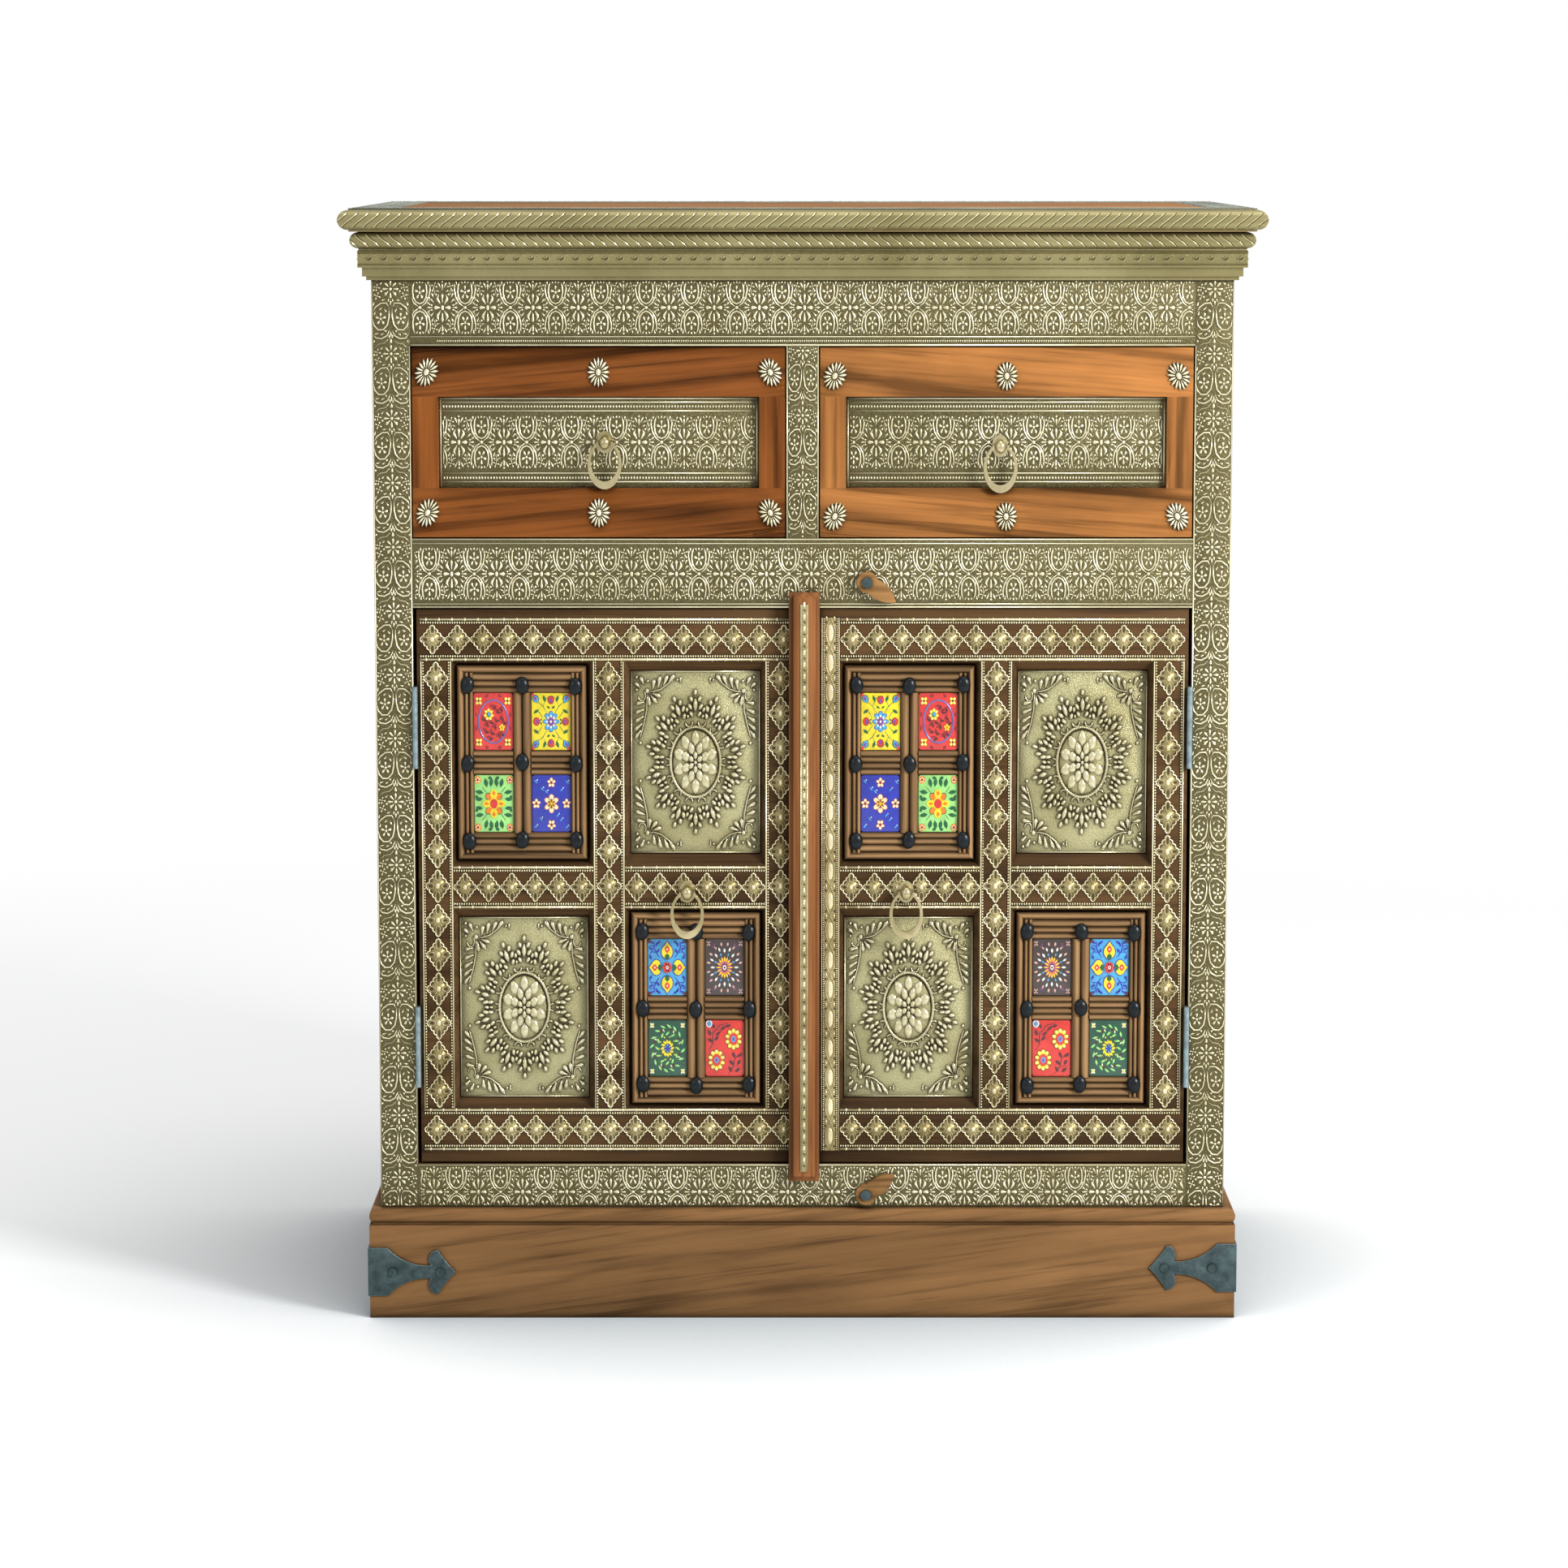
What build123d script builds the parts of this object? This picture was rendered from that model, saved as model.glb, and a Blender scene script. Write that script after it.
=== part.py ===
from build123d import *

import os
from math import cos, radians, sin

# Brass-clad carved wood cabinet: two drawers above a pair of inset doors.
# Millimetres. X runs to the right, Y to the back and Z up; the front faces -Y.
# The origin is on the floor, at the centre of the footprint with the cornice.

# ---------------------------------------------------------------- driving sizes
body_width = 686.0
carcass_depth = 380.0
sheet_thickness = 1.0

# Heights of the front, from the floor up
plinth_height = 90.0
bottom_rail_height = 35.5
door_opening_height = 455.0
mid_rail_height = 56.0
drawer_opening_height = 153.5
top_rail_height = 52.5

# Face frame and carcass boards
face_stile_width = 30.5
divider_width = 26.0
face_frame_thickness = 21.0
side_board_thickness = 21.0
side_border_width = 62.0
side_panel_recess = 6.0
back_thickness = 8.0
shelf_thickness = 15.0
shelf_height = 345.0
shelf_setback = 16.0
runner_ledge = 14.0
runner_height = 20.0
runner_guide_height = 20.0

# Plinth with a bead along its top edge
plinth_projection = 9.0
plinth_thickness = 20.0
plinth_bead_height = 11.5
plinth_bead_depth = 2.5
plinth_quirk_height = 1.5

# Iron corner straps: a full-height foot that tapers to an arrowhead
strap_length = 71.4
strap_height = 40.0
strap_thickness = 1.5
strap_foot = 16.0
strap_neck_height = 10.6
strap_neck_at = 51.5
strap_waist_height = 18.0
strap_lobe_height = 37.0
strap_barb_height = 16.5
left_strap_level = 38.4
right_strap_level = 41.8
strap_near_hole = 20.3
strap_far_hole = 59.0

# Cornice layers from the carcass up: height and how far each stands out
lip_height = 3.0
lip_projection = 3.5
cornice_fillet_height = 7.0
cornice_fillet_projection = 6.5
scroll_band_height = 13.5
scroll_band_projection = 10.0
band_gap = 1.5
lower_rope_height = 13.5
lower_rope_projection = 15.7
rope_gap = 1.0
upper_rope_height = 16.5
upper_rope_projection = 24.5
top_reveal = 1.5
core_width = 45.0
top_border_width = 35.0

# Drawers
front_recess = 1.0
drawer_front_thickness = 20.0
drawer_front_gap = 1.0
drawer_stile_width = 20.75
drawer_rail_height = 39.25
drawer_panel_depth = 6.0
drawer_side_thickness = 10.0
drawer_side_height = 133.0
drawer_bottom_thickness = 6.0
drawer_bottom_rise = 5.0
drawer_box_length = 310.0
running_gap = 0.3
glue_gap = 0.1
rosette_width = 18.0
rosette_height = 24.0
rosette_rim = 1.4
rosette_dome = 3.4
rosette_dome_share = 0.6
rosette_inset = 11.75

# Doors
door_thickness = 25.2
door_side_gap = 2.5
door_bottom_gap = 1.5
door_top_gap = 1.0
meeting_gap = 3.0
door_outer_stile = 28.0
door_muntin = 27.0
door_inner_stile = 28.5
upper_panel_extra_height = 2.0
door_pocket_depth = 10.0
strip_thickness = 1.2
level_strip = 35.0
bottom_strip_margin = 9.5
top_strip_margin = 7.0
mid_strip_margin = 0.5
muntin_strip_margin = 0.85
outer_strip_margin = 2.7
inner_strip_margin = 3.2
astragal_strip_gap = 1.3

# Medallion sheets and tile panels that fill the door pockets
medallion_bevel_x = 3.75
medallion_bevel_z = 7.5
medallion_boss_width = 41.7
medallion_boss_height = 58.6
medallion_boss_rise = 5.0
tile_bevel_x = 4.05
tile_bevel_z = 3.2
tile_frame_thickness = 9.0
tile_side_bar = 13.05
tile_end_bar = 22.1
tile_middle_bar_x = 14.7
tile_middle_bar_z = 20.2
tile_thickness = 5.0
tile_gap = 0.1
stud_width = 10.9
stud_height = 14.3
stud_rim = 1.6
stud_dome = 3.6
stud_dome_share = 0.7
stud_inset_x = 9.0
stud_inset_z = 15.8

# Pulls: a ball on a stem with a leaf-shaped plate behind and a ring through it
ball_radius = 4.4
ball_height = 11.2
ball_standoff = 9.0
stem_radius = 2.3
shank_radius = 1.8
shank_length = 12.0
shank_clearance = 0.1
plate_width = 13.0
plate_height = 18.0
plate_thickness = 1.0
ring_width = 27.0
ring_drop = 37.0
ring_top = 2.2
ring_side_wall = 2.5
ring_bottom_wall = 6.2
ring_thickness = 3.5
ring_pin_radius = 1.1
ring_pin_clearance = 0.1
ring_pin_overlap = 1.6
ring_cheek_gap = 0.6
drawer_pull_offset_x = 4.8
right_drawer_hardware_drop = 3.0
left_door_pull_offset = 6.65
right_door_pull_offset = -2.55
door_pull_drop = 3.4

# Astragal over the meeting line, carried by the right door
astragal_width = 24.6
astragal_centre = 1.4
astragal_thickness = 12.0
astragal_bottom_overlap = 12.3
astragal_top_overlap = 13.1
astragal_step = 3.4
astragal_step_depth = 4.0
astragal_end_bevel = 5.0
astragal_strip_width = 6.5
astragal_strip_margin = 9.0
astragal_foot_margin = 2.0
astragal_clearance = 0.3

# Butt hinges, two to a door
hinge_height = 66.0
hinge_bottom_offset = 96.0
hinge_top_offset = 95.5
knuckle_radius = 2.2
hinge_pin_radius = 1.2
hinge_pin_clearance = 0.05
knuckle_gap = 0.1
knuckle_face_gap = 0.2
leaf_thickness = 1.0
leaf_depth = 20.0

# Wooden turn buttons on one screw each
button_pivot_x = 51.7
button_upper_rise = 21.2
button_lower_drop = 23.6
button_head_radius = 8.5
button_reach = 28.0
button_leaf_width = 13.0
button_thickness = 8.0
button_rest_angle = 35.0
button_screw_radius = 2.0
button_bore_clearance = 0.08
button_screw_depth = 16.0
screw_head_rise = 1.6
screw_head_radius = 4.2
strap_screw_radius = 1.8
strap_screw_head_radius = 3.4
strap_screw_head_rise = 1.0
strap_screw_length = 12.0
screw_hole_clearance = 0.1

# ---------------------------------------------------------------- derived places
half_width = body_width / 2
overall_depth = carcass_depth + upper_rope_projection
back_y = overall_depth / 2
face_y = back_y - carcass_depth
frame_y = face_y + sheet_thickness
frame_back_y = frame_y + face_frame_thickness
inner_back_y = back_y - back_thickness
side_outer = half_width - sheet_thickness
side_inner = side_outer - side_board_thickness
opening_half = half_width - face_stile_width

bottom_rail_z = plinth_height
door_low_z = bottom_rail_z + bottom_rail_height
door_high_z = door_low_z + door_opening_height
drawer_low_z = door_high_z + mid_rail_height
drawer_high_z = drawer_low_z + drawer_opening_height
carcass_top_z = drawer_high_z + top_rail_height

fillet_z = carcass_top_z + lip_height
band_z = fillet_z + cornice_fillet_height
band_top_z = band_z + scroll_band_height
lower_rope_z = band_top_z + band_gap
lower_rope_top_z = lower_rope_z + lower_rope_height
upper_rope_z = lower_rope_top_z + rope_gap
overall_height = upper_rope_z + upper_rope_height + top_reveal

front_y = face_y + front_recess
door_wood_y = front_y + strip_thickness
plinth_half = half_width + plinth_projection
plinth_y = face_y - plinth_projection
sides = {"left": -1, "right": 1}
strap_levels = {"left": left_strap_level, "right": right_strap_level}
strap_hole_distances = (strap_near_hole, strap_far_hole)


# ---------------------------------------------------------------- shared helpers
def facing(y):
    """Plane at depth y that faces the front, with world X and Z as its axes."""
    return Plane(origin=(0, y, 0), x_dir=(1, 0, 0), z_dir=(0, -1, 0))


def reach(side, inner, outer):
    """X range between two distances from the middle, on one side of it."""
    return tuple(sorted((side * inner, side * outer)))


def board(x_range, y_range, z_range, mode=Mode.ADD):
    """Fill a box between the given ranges in the part being built."""
    ranges = (x_range, y_range, z_range)
    centre = tuple((low + high) / 2 for low, high in ranges)
    size = tuple(high - low for low, high in ranges)
    with Locations(centre):
        Box(*size, mode=mode)


def u_board(projection, z_range, mode=Mode.ADD):
    """Slab over the footprint that stands out at the front and the two sides."""
    reach_x = half_width + projection
    board((-reach_x, reach_x), (face_y - projection, back_y), z_range, mode)


def write(piece, name):
    """Label a finished piece and write it to its own file."""
    piece.part.label = name
    export_step(piece.part, f"parts/{name}.step")


os.makedirs("parts", exist_ok=True)

# ---------------------------------------------------------------- plinth
strap_outer_x = plinth_half + strap_thickness
strap_outer_y = plinth_y - strap_thickness


def strap_planes(name):
    """Planes on the two plinth faces at a corner, with X running from the corner."""
    side = sides[name]
    level = strap_levels[name]
    on_front = Plane((side * strap_outer_x, plinth_y, level), (-side, 0, 0), (0, -1, 0))
    on_side = Plane((side * plinth_half, strap_outer_y, level), (0, 1, 0), (side, 0, 0))
    return on_front, on_side


with BuildPart() as plinth_ring:
    with BuildLine() as plinth_path:
        Polyline(
            (-plinth_half, back_y),
            (-plinth_half, plinth_y),
            (plinth_half, plinth_y),
            (plinth_half, back_y),
        )
    with BuildSketch(Plane((-plinth_half, back_y, 0), (1, 0, 0), (0, -1, 0))):
        with BuildLine():
            bead_low_z = plinth_height - plinth_bead_height
            quirk_z = bead_low_z - plinth_quirk_height
            bead_mid_z = (bead_low_z + plinth_height) / 2
            Polyline(
                (plinth_bead_depth, plinth_height),
                (plinth_thickness, plinth_height),
                (plinth_thickness, 0),
                (0, 0),
                (0, quirk_z),
                (plinth_bead_depth, quirk_z),
                (plinth_bead_depth, bead_low_z),
            )
            ThreePointArc(
                (plinth_bead_depth, bead_low_z),
                (0, bead_mid_z),
                (plinth_bead_depth, plinth_height),
            )
        make_face()
    sweep(path=plinth_path.wire(), transition=Transition.RIGHT)
    for corner in sides:
        for strap_plane in strap_planes(corner):
            with BuildSketch(strap_plane):
                with Locations(*((distance, 0) for distance in strap_hole_distances)):
                    Circle(strap_screw_radius + screw_hole_clearance)
            extrude(amount=-strap_screw_length, mode=Mode.SUBTRACT)

with BuildPart() as plinth_front:
    add(plinth_ring.part)
    for side in sides.values():
        mitre = Plane((side * plinth_half, plinth_y, 0), z_dir=(-side, -1, 0))
        split(bisect_by=mitre, keep=Keep.TOP)
write(plinth_front, "plinth_front")

with BuildPart() as plinth_sides:
    add(plinth_ring.part)
    add(plinth_front.part, mode=Mode.SUBTRACT)
write(plinth_sides, "plinth_sides")

with BuildPart() as plinth_back:
    plinth_inner = plinth_half - plinth_thickness
    board((-plinth_inner, plinth_inner), (back_y - plinth_thickness, back_y), (0, plinth_height))
write(plinth_back, "plinth_back")

with BuildPart() as corner_straps:
    for corner in sides:
        for strap_plane in strap_planes(corner):
            with BuildSketch(strap_plane):
                with BuildLine():
                    half = strap_height / 2
                    neck = strap_neck_height / 2
                    lobe = strap_lobe_height / 2
                    lobe_at = strap_neck_at + neck
                    Polyline((strap_foot, half), (0, half), (0, -half), (strap_foot, -half))
                    for sign in (-1, 1):
                        ThreePointArc(
                            (strap_foot, sign * half),
                            ((strap_foot + strap_neck_at - neck) / 2, sign * strap_waist_height / 2),
                            (strap_neck_at, sign * neck),
                        )
                        ThreePointArc(
                            (strap_neck_at, sign * neck),
                            (strap_neck_at - neck / 3, sign * (neck + lobe) / 2),
                            (lobe_at, sign * lobe),
                        )
                        ThreePointArc(
                            (lobe_at, sign * lobe),
                            ((lobe_at + strap_length) / 2, sign * strap_barb_height / 2),
                            (strap_length, 0),
                        )
                make_face()
                with Locations(*((distance, 0) for distance in strap_hole_distances)):
                    Circle(strap_screw_radius + 2 * screw_hole_clearance, mode=Mode.SUBTRACT)
            extrude(amount=strap_thickness)
write(corner_straps, "corner_straps")

# ---------------------------------------------------------------- carcass
side_y_range = (frame_back_y, inner_back_y)
carcass_z_range = (plinth_height, carcass_top_z)
border_y = (frame_back_y + side_border_width, back_y - side_border_width)
border_z = (plinth_height + side_border_width, carcass_top_z - side_border_width)

for name, side in sides.items():
    with BuildPart() as side_panel:
        board(reach(side, side_inner, side_outer), side_y_range, carcass_z_range)
        recess = reach(side, side_outer - side_panel_recess, side_outer)
        board(recess, border_y, border_z, mode=Mode.SUBTRACT)
    write(side_panel, f"{name}_side_panel")

with BuildPart() as side_sheets:
    for side in sides.values():
        sheet = reach(side, side_outer, half_width)
        board(sheet, (frame_y, back_y), carcass_z_range)
        board(sheet, border_y, border_z, mode=Mode.SUBTRACT)
write(side_sheets, "side_sheets")

with BuildPart() as back_panel:
    board((-side_outer, side_outer), (inner_back_y, back_y), carcass_z_range)
write(back_panel, "back_panel")

with BuildPart() as floor_board:
    floor_z_range = (door_low_z - shelf_thickness, door_low_z)
    board((-side_inner, side_inner), (frame_back_y, inner_back_y), floor_z_range)
write(floor_board, "floor_board")

with BuildPart() as shelf:
    shelf_z_range = (shelf_height, shelf_height + shelf_thickness)
    board((-side_inner, side_inner), (frame_back_y + shelf_setback, inner_back_y), shelf_z_range)
write(shelf, "shelf")

# Wooden runners: a ledge under each drawer side and a guide beside it
with BuildPart() as drawer_runners:
    ledge_z = drawer_low_z - runner_height
    guide_z = drawer_low_z + runner_guide_height
    divider_half = divider_width / 2
    for side in sides.values():
        ledge_x = reach(side, opening_half - runner_ledge, side_inner)
        board(ledge_x, side_y_range, (ledge_z, drawer_low_z))
        board(reach(side, opening_half, side_inner), side_y_range, (drawer_low_z, guide_z))
    middle_ledge = divider_half + runner_ledge
    board((-middle_ledge, middle_ledge), side_y_range, (ledge_z, drawer_low_z))
    board((-divider_half, divider_half), side_y_range, (drawer_low_z, guide_z))
write(drawer_runners, "drawer_runners")

# ---------------------------------------------------------------- face frame
frame_y_range = (frame_y, frame_back_y)
button_places = (
    (button_pivot_x, door_high_z + button_upper_rise),
    (button_pivot_x, door_low_z - button_lower_drop),
)


def screw_holes(depth_y):
    """Cut the two turn button screw holes backwards from the front face."""
    with BuildSketch(facing(face_y)) as holes:
        with Locations(*button_places):
            Circle(button_screw_radius + screw_hole_clearance)
    extrude(holes.sketch, amount=-depth_y, mode=Mode.SUBTRACT)


with BuildPart() as face_stiles:
    for side in sides.values():
        board(reach(side, opening_half, side_outer), frame_y_range, carcass_z_range)
write(face_stiles, "face_stiles")

rail_ranges = {
    "bottom_rail": (bottom_rail_z, door_low_z),
    "mid_rail": (door_high_z, drawer_low_z),
    "top_rail": (drawer_high_z, carcass_top_z),
}
rail_x_range = (-opening_half, opening_half)
for name, rail_z_range in rail_ranges.items():
    with BuildPart() as rail:
        board(rail_x_range, frame_y_range, rail_z_range)
        screw_holes(button_screw_depth)
    write(rail, name)

with BuildPart() as drawer_divider:
    board((-divider_half, divider_half), frame_y_range, (drawer_low_z, drawer_high_z))
write(drawer_divider, "drawer_divider")

# Embossed brass sheets over the face frame, cut to its members
with BuildPart() as face_sheets:
    sheet_y_range = (face_y, frame_y)
    for side in sides.values():
        board(reach(side, opening_half, half_width), sheet_y_range, carcass_z_range)
    for rail_z_range in rail_ranges.values():
        board(rail_x_range, sheet_y_range, rail_z_range)
    board((-divider_half, divider_half), sheet_y_range, (drawer_low_z, drawer_high_z))
    screw_holes(button_screw_depth)
write(face_sheets, "face_sheets")

# ---------------------------------------------------------------- cornice and top
upper_rope_face = upper_rope_projection - upper_rope_height / 2
lower_rope_face = lower_rope_projection - lower_rope_height / 2
band_face = scroll_band_projection - sheet_thickness
core_layers = (
    (carcass_top_z, fillet_z, lip_projection),
    (fillet_z, band_z, cornice_fillet_projection),
    (band_z, band_top_z, band_face),
    (band_top_z, lower_rope_top_z, lower_rope_face),
)

with BuildPart() as cornice_core:
    for low_z, high_z, projection in core_layers:
        u_board(projection, (low_z, high_z))
    hollow_x = half_width - core_width
    hollow_y = (face_y + core_width, back_y - core_width)
    board((-hollow_x, hollow_x), hollow_y, (carcass_top_z, lower_rope_top_z), mode=Mode.SUBTRACT)
write(cornice_core, "cornice_core")

with BuildPart() as scroll_band:
    u_board(scroll_band_projection, (band_z, band_top_z))
    u_board(band_face, (band_z, band_top_z), mode=Mode.SUBTRACT)
write(scroll_band, "scroll_band")

ropes = {
    "lower_rope": (lower_rope_z, lower_rope_height, lower_rope_face),
    "upper_rope": (upper_rope_z, upper_rope_height, upper_rope_face),
}
for name, (rope_z, rope_height, rope_face) in ropes.items():
    rope_x = half_width + rope_face
    with BuildPart() as rope:
        with BuildLine(Plane.XY.offset(rope_z + rope_height / 2)) as rope_path:
            Polyline(
                (-rope_x, back_y),
                (-rope_x, face_y - rope_face),
                (rope_x, face_y - rope_face),
                (rope_x, back_y),
            )
        rope_start = (-rope_x, back_y, rope_z + rope_height / 2)
        with BuildSketch(Plane(rope_start, (1, 0, 0), (0, -1, 0))):
            with BuildLine():
                Line((0, -rope_height / 2), (0, rope_height / 2))
                ThreePointArc((0, rope_height / 2), (-rope_height / 2, 0), (0, -rope_height / 2))
            make_face()
        sweep(path=rope_path.wire(), transition=Transition.RIGHT)
    write(rope, name)

top_sheet_z = overall_height - sheet_thickness
with BuildPart() as top_panel:
    u_board(upper_rope_face, (lower_rope_top_z, top_sheet_z))
write(top_panel, "top_panel")

with BuildPart() as top_border_sheet:
    u_board(upper_rope_face, (top_sheet_z, overall_height))
    window_x = half_width + upper_rope_face - top_border_width
    window_y = (face_y - upper_rope_face + top_border_width, back_y - top_border_width)
    board((-window_x, window_x), window_y, (top_sheet_z, overall_height), mode=Mode.SUBTRACT)
write(top_border_sheet, "top_border_sheet")

# ---------------------------------------------------------------- pulls
def pull_knob(x, y, z):
    """Leaf plate, stem, ball with a cross bore, and a shank into the wood behind y."""
    ball_y = y - ball_standoff
    with BuildPart() as knob:
        with BuildSketch(facing(y)):
            with Locations((x, z)):
                Ellipse(plate_width / 2, plate_height / 2)
        extrude(amount=plate_thickness)
        with BuildSketch(facing(y)):
            with Locations((x, z)):
                Circle(shank_radius)
        extrude(amount=-shank_length)
        with BuildSketch(facing(y)):
            with Locations((x, z)):
                Circle(stem_radius)
        extrude(amount=ball_standoff)
        with BuildSketch(Plane((x, ball_y, z), (1, 0, 0), (0, -1, 0))):
            Ellipse(ball_radius, ball_height / 2)
            with Locations((-ball_radius, 0)):
                Rectangle(2 * ball_radius, 2 * ball_height, mode=Mode.SUBTRACT)
        revolve(axis=Axis((x, ball_y, z), (0, 0, 1)))
        with Locations(Location((x, ball_y, z), (0, 90, 0))):
            bore_radius = ring_pin_radius + ring_pin_clearance
            Cylinder(bore_radius, 4 * ball_radius, mode=Mode.SUBTRACT)
    return knob


def pull_ring(x, y, z):
    """Crescent ring on a straight pin that passes through the ball at (x, y, z)."""
    cheek = ball_radius + ring_cheek_gap
    outer_height = ring_drop + ring_top
    inner_height = outer_height - ring_bottom_wall - ring_side_wall
    outer_z = ring_top - outer_height / 2
    inner_z = ring_top - ring_side_wall - inner_height / 2
    with BuildPart() as ring:
        with BuildSketch(Plane((x, y + ring_thickness / 2, z), (1, 0, 0), (0, -1, 0))):
            with Locations((0, outer_z)):
                Ellipse(ring_width / 2, outer_height / 2)
            with Locations((0, inner_z)):
                inner_width = ring_width - 2 * ring_side_wall
                Ellipse(inner_width / 2, inner_height / 2, mode=Mode.SUBTRACT)
            Rectangle(2 * cheek, ball_height, mode=Mode.SUBTRACT)
        extrude(amount=ring_thickness)
        with Locations(Location((x, y, z), (0, 90, 0))):
            Cylinder(ring_pin_radius, 2 * (cheek + ring_pin_overlap))
    return ring


def shank_hole(x, y, z):
    """Cut the hole that a pull's shank fills, backwards from y."""
    with BuildSketch(facing(y)) as hole:
        with Locations((x, z)):
            Circle(shank_radius + shank_clearance)
    extrude(hole.sketch, amount=-(shank_length + shank_clearance), mode=Mode.SUBTRACT)


# ---------------------------------------------------------------- drawers
drawer_middle = (divider_half + opening_half) / 2
drawer_front_half = (opening_half - divider_half) / 2 - drawer_front_gap
drawer_panel_half = drawer_front_half - drawer_stile_width
drawer_front_back_y = front_y + drawer_front_thickness
drawer_front_z = (drawer_low_z + drawer_front_gap, drawer_high_z - drawer_front_gap)
drawer_panel_z = (drawer_front_z[0] + drawer_rail_height, drawer_front_z[1] - drawer_rail_height)
drawer_middle_z = (drawer_low_z + drawer_high_z) / 2
panel_sheet_y = front_y + drawer_panel_depth - sheet_thickness
rosette_spread = drawer_front_half - rosette_inset
rosette_rows = (drawer_front_z[0] + drawer_rail_height / 2, drawer_front_z[1] - drawer_rail_height / 2)
drawer_hardware_drop = {"left": 0, "right": right_drawer_hardware_drop}

for name, side in sides.items():
    middle_x = side * drawer_middle
    drop = drawer_hardware_drop[name]
    pull_x = middle_x - side * drawer_pull_offset_x
    pull_z = drawer_middle_z - drop
    panel_x = (middle_x - drawer_panel_half, middle_x + drawer_panel_half)
    front_x = (middle_x - drawer_front_half, middle_x + drawer_front_half)

    with BuildPart() as drawer_front:
        board(front_x, (front_y, drawer_front_back_y), drawer_front_z)
        board(panel_x, (front_y, front_y + drawer_panel_depth), drawer_panel_z, mode=Mode.SUBTRACT)
        shank_hole(pull_x, panel_sheet_y, pull_z)
    write(drawer_front, f"{name}_drawer_front")

    with BuildPart() as drawer_sheet:
        board(panel_x, (panel_sheet_y, panel_sheet_y + sheet_thickness), drawer_panel_z)
        shank_hole(pull_x, panel_sheet_y, pull_z)
    write(drawer_sheet, f"{name}_drawer_sheet")

    with BuildPart() as drawer_box:
        box_low_z = drawer_low_z + running_gap
        box_z = (box_low_z, box_low_z + drawer_side_height)
        box_back_y = drawer_front_back_y + drawer_box_length
        for end in (-1, 1):
            wall_outer = middle_x + end * drawer_front_half
            wall_inner = wall_outer - end * drawer_side_thickness
            wall_x = tuple(sorted((wall_outer, wall_inner)))
            board(wall_x, (drawer_front_back_y, box_back_y), box_z)
        inside_half = drawer_front_half - drawer_side_thickness - glue_gap
        inside_x = (middle_x - inside_half, middle_x + inside_half)
        wall_y = box_back_y - drawer_side_thickness
        board(inside_x, (wall_y, box_back_y), box_z)
        bottom_z = box_low_z + drawer_bottom_rise
        bottom_y = (drawer_front_back_y, wall_y - glue_gap)
        board(inside_x, bottom_y, (bottom_z, bottom_z + drawer_bottom_thickness))
    write(drawer_box, f"{name}_drawer_box")

    with BuildPart() as rosettes:
        for radius_share, rise in ((1, rosette_rim), (rosette_dome_share, rosette_dome)):
            with BuildSketch(facing(front_y)):
                for row_z in rosette_rows:
                    for column in (-1, 0, 1):
                        with Locations((middle_x + column * rosette_spread, row_z - drop)):
                            Ellipse(
                                radius_share * rosette_width / 2,
                                radius_share * rosette_height / 2,
                            )
            extrude(amount=rise)
    write(rosettes, f"{name}_drawer_rosettes")

    write(pull_knob(pull_x, panel_sheet_y, pull_z), f"{name}_drawer_knob")
    write(pull_ring(pull_x, panel_sheet_y - ball_standoff, pull_z), f"{name}_drawer_ring")

# ---------------------------------------------------------------- hinges
door_outer = opening_half - door_side_gap
door_inner = meeting_gap / 2
door_z = (door_low_z + door_bottom_gap, door_high_z - door_top_gap)
hinge_levels = (door_z[0] + hinge_bottom_offset, door_z[1] - hinge_top_offset)
hinge_x = opening_half - door_side_gap / 2
hinge_y = face_y - knuckle_radius - knuckle_face_gap
knuckle_height = (hinge_height - 2 * knuckle_gap) / 3
knuckle_step = knuckle_height + knuckle_gap
leaf_back_y = hinge_y + knuckle_radius + knuckle_face_gap + leaf_depth


def hinge_leaf(side, level, knuckle_rows, leaf_x, bore_radius):
    """Leaf in the gap beside a door, with its knuckles on the hinge axis."""
    clear_y = hinge_y + knuckle_radius + knuckle_face_gap
    leaf_z = (level - hinge_height / 2, level + hinge_height / 2)
    board(leaf_x, (clear_y, leaf_back_y), leaf_z)
    for row in knuckle_rows:
        centre_z = level + row * knuckle_step
        knuckle_z = (centre_z - knuckle_height / 2, centre_z + knuckle_height / 2)
        tab_y = hinge_y + (bore_radius + knuckle_radius) / 2
        board(leaf_x, (tab_y, clear_y), knuckle_z)
        with Locations((side * hinge_x, hinge_y, centre_z)):
            Cylinder(knuckle_radius, knuckle_height)
            Cylinder(bore_radius, knuckle_height, mode=Mode.SUBTRACT)


with BuildPart() as frame_hinge_leaves:
    for side in sides.values():
        for level in hinge_levels:
            frame_leaf_x = reach(side, opening_half - leaf_thickness, opening_half)
            hinge_leaf(side, level, (-1, 1), frame_leaf_x, hinge_pin_radius)
write(frame_hinge_leaves, "frame_hinge_leaves")

with BuildPart() as hinge_pins:
    for side in sides.values():
        with Locations(*((side * hinge_x, hinge_y, level) for level in hinge_levels)):
            Cylinder(hinge_pin_radius, hinge_height)
write(hinge_pins, "hinge_pins")

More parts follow.
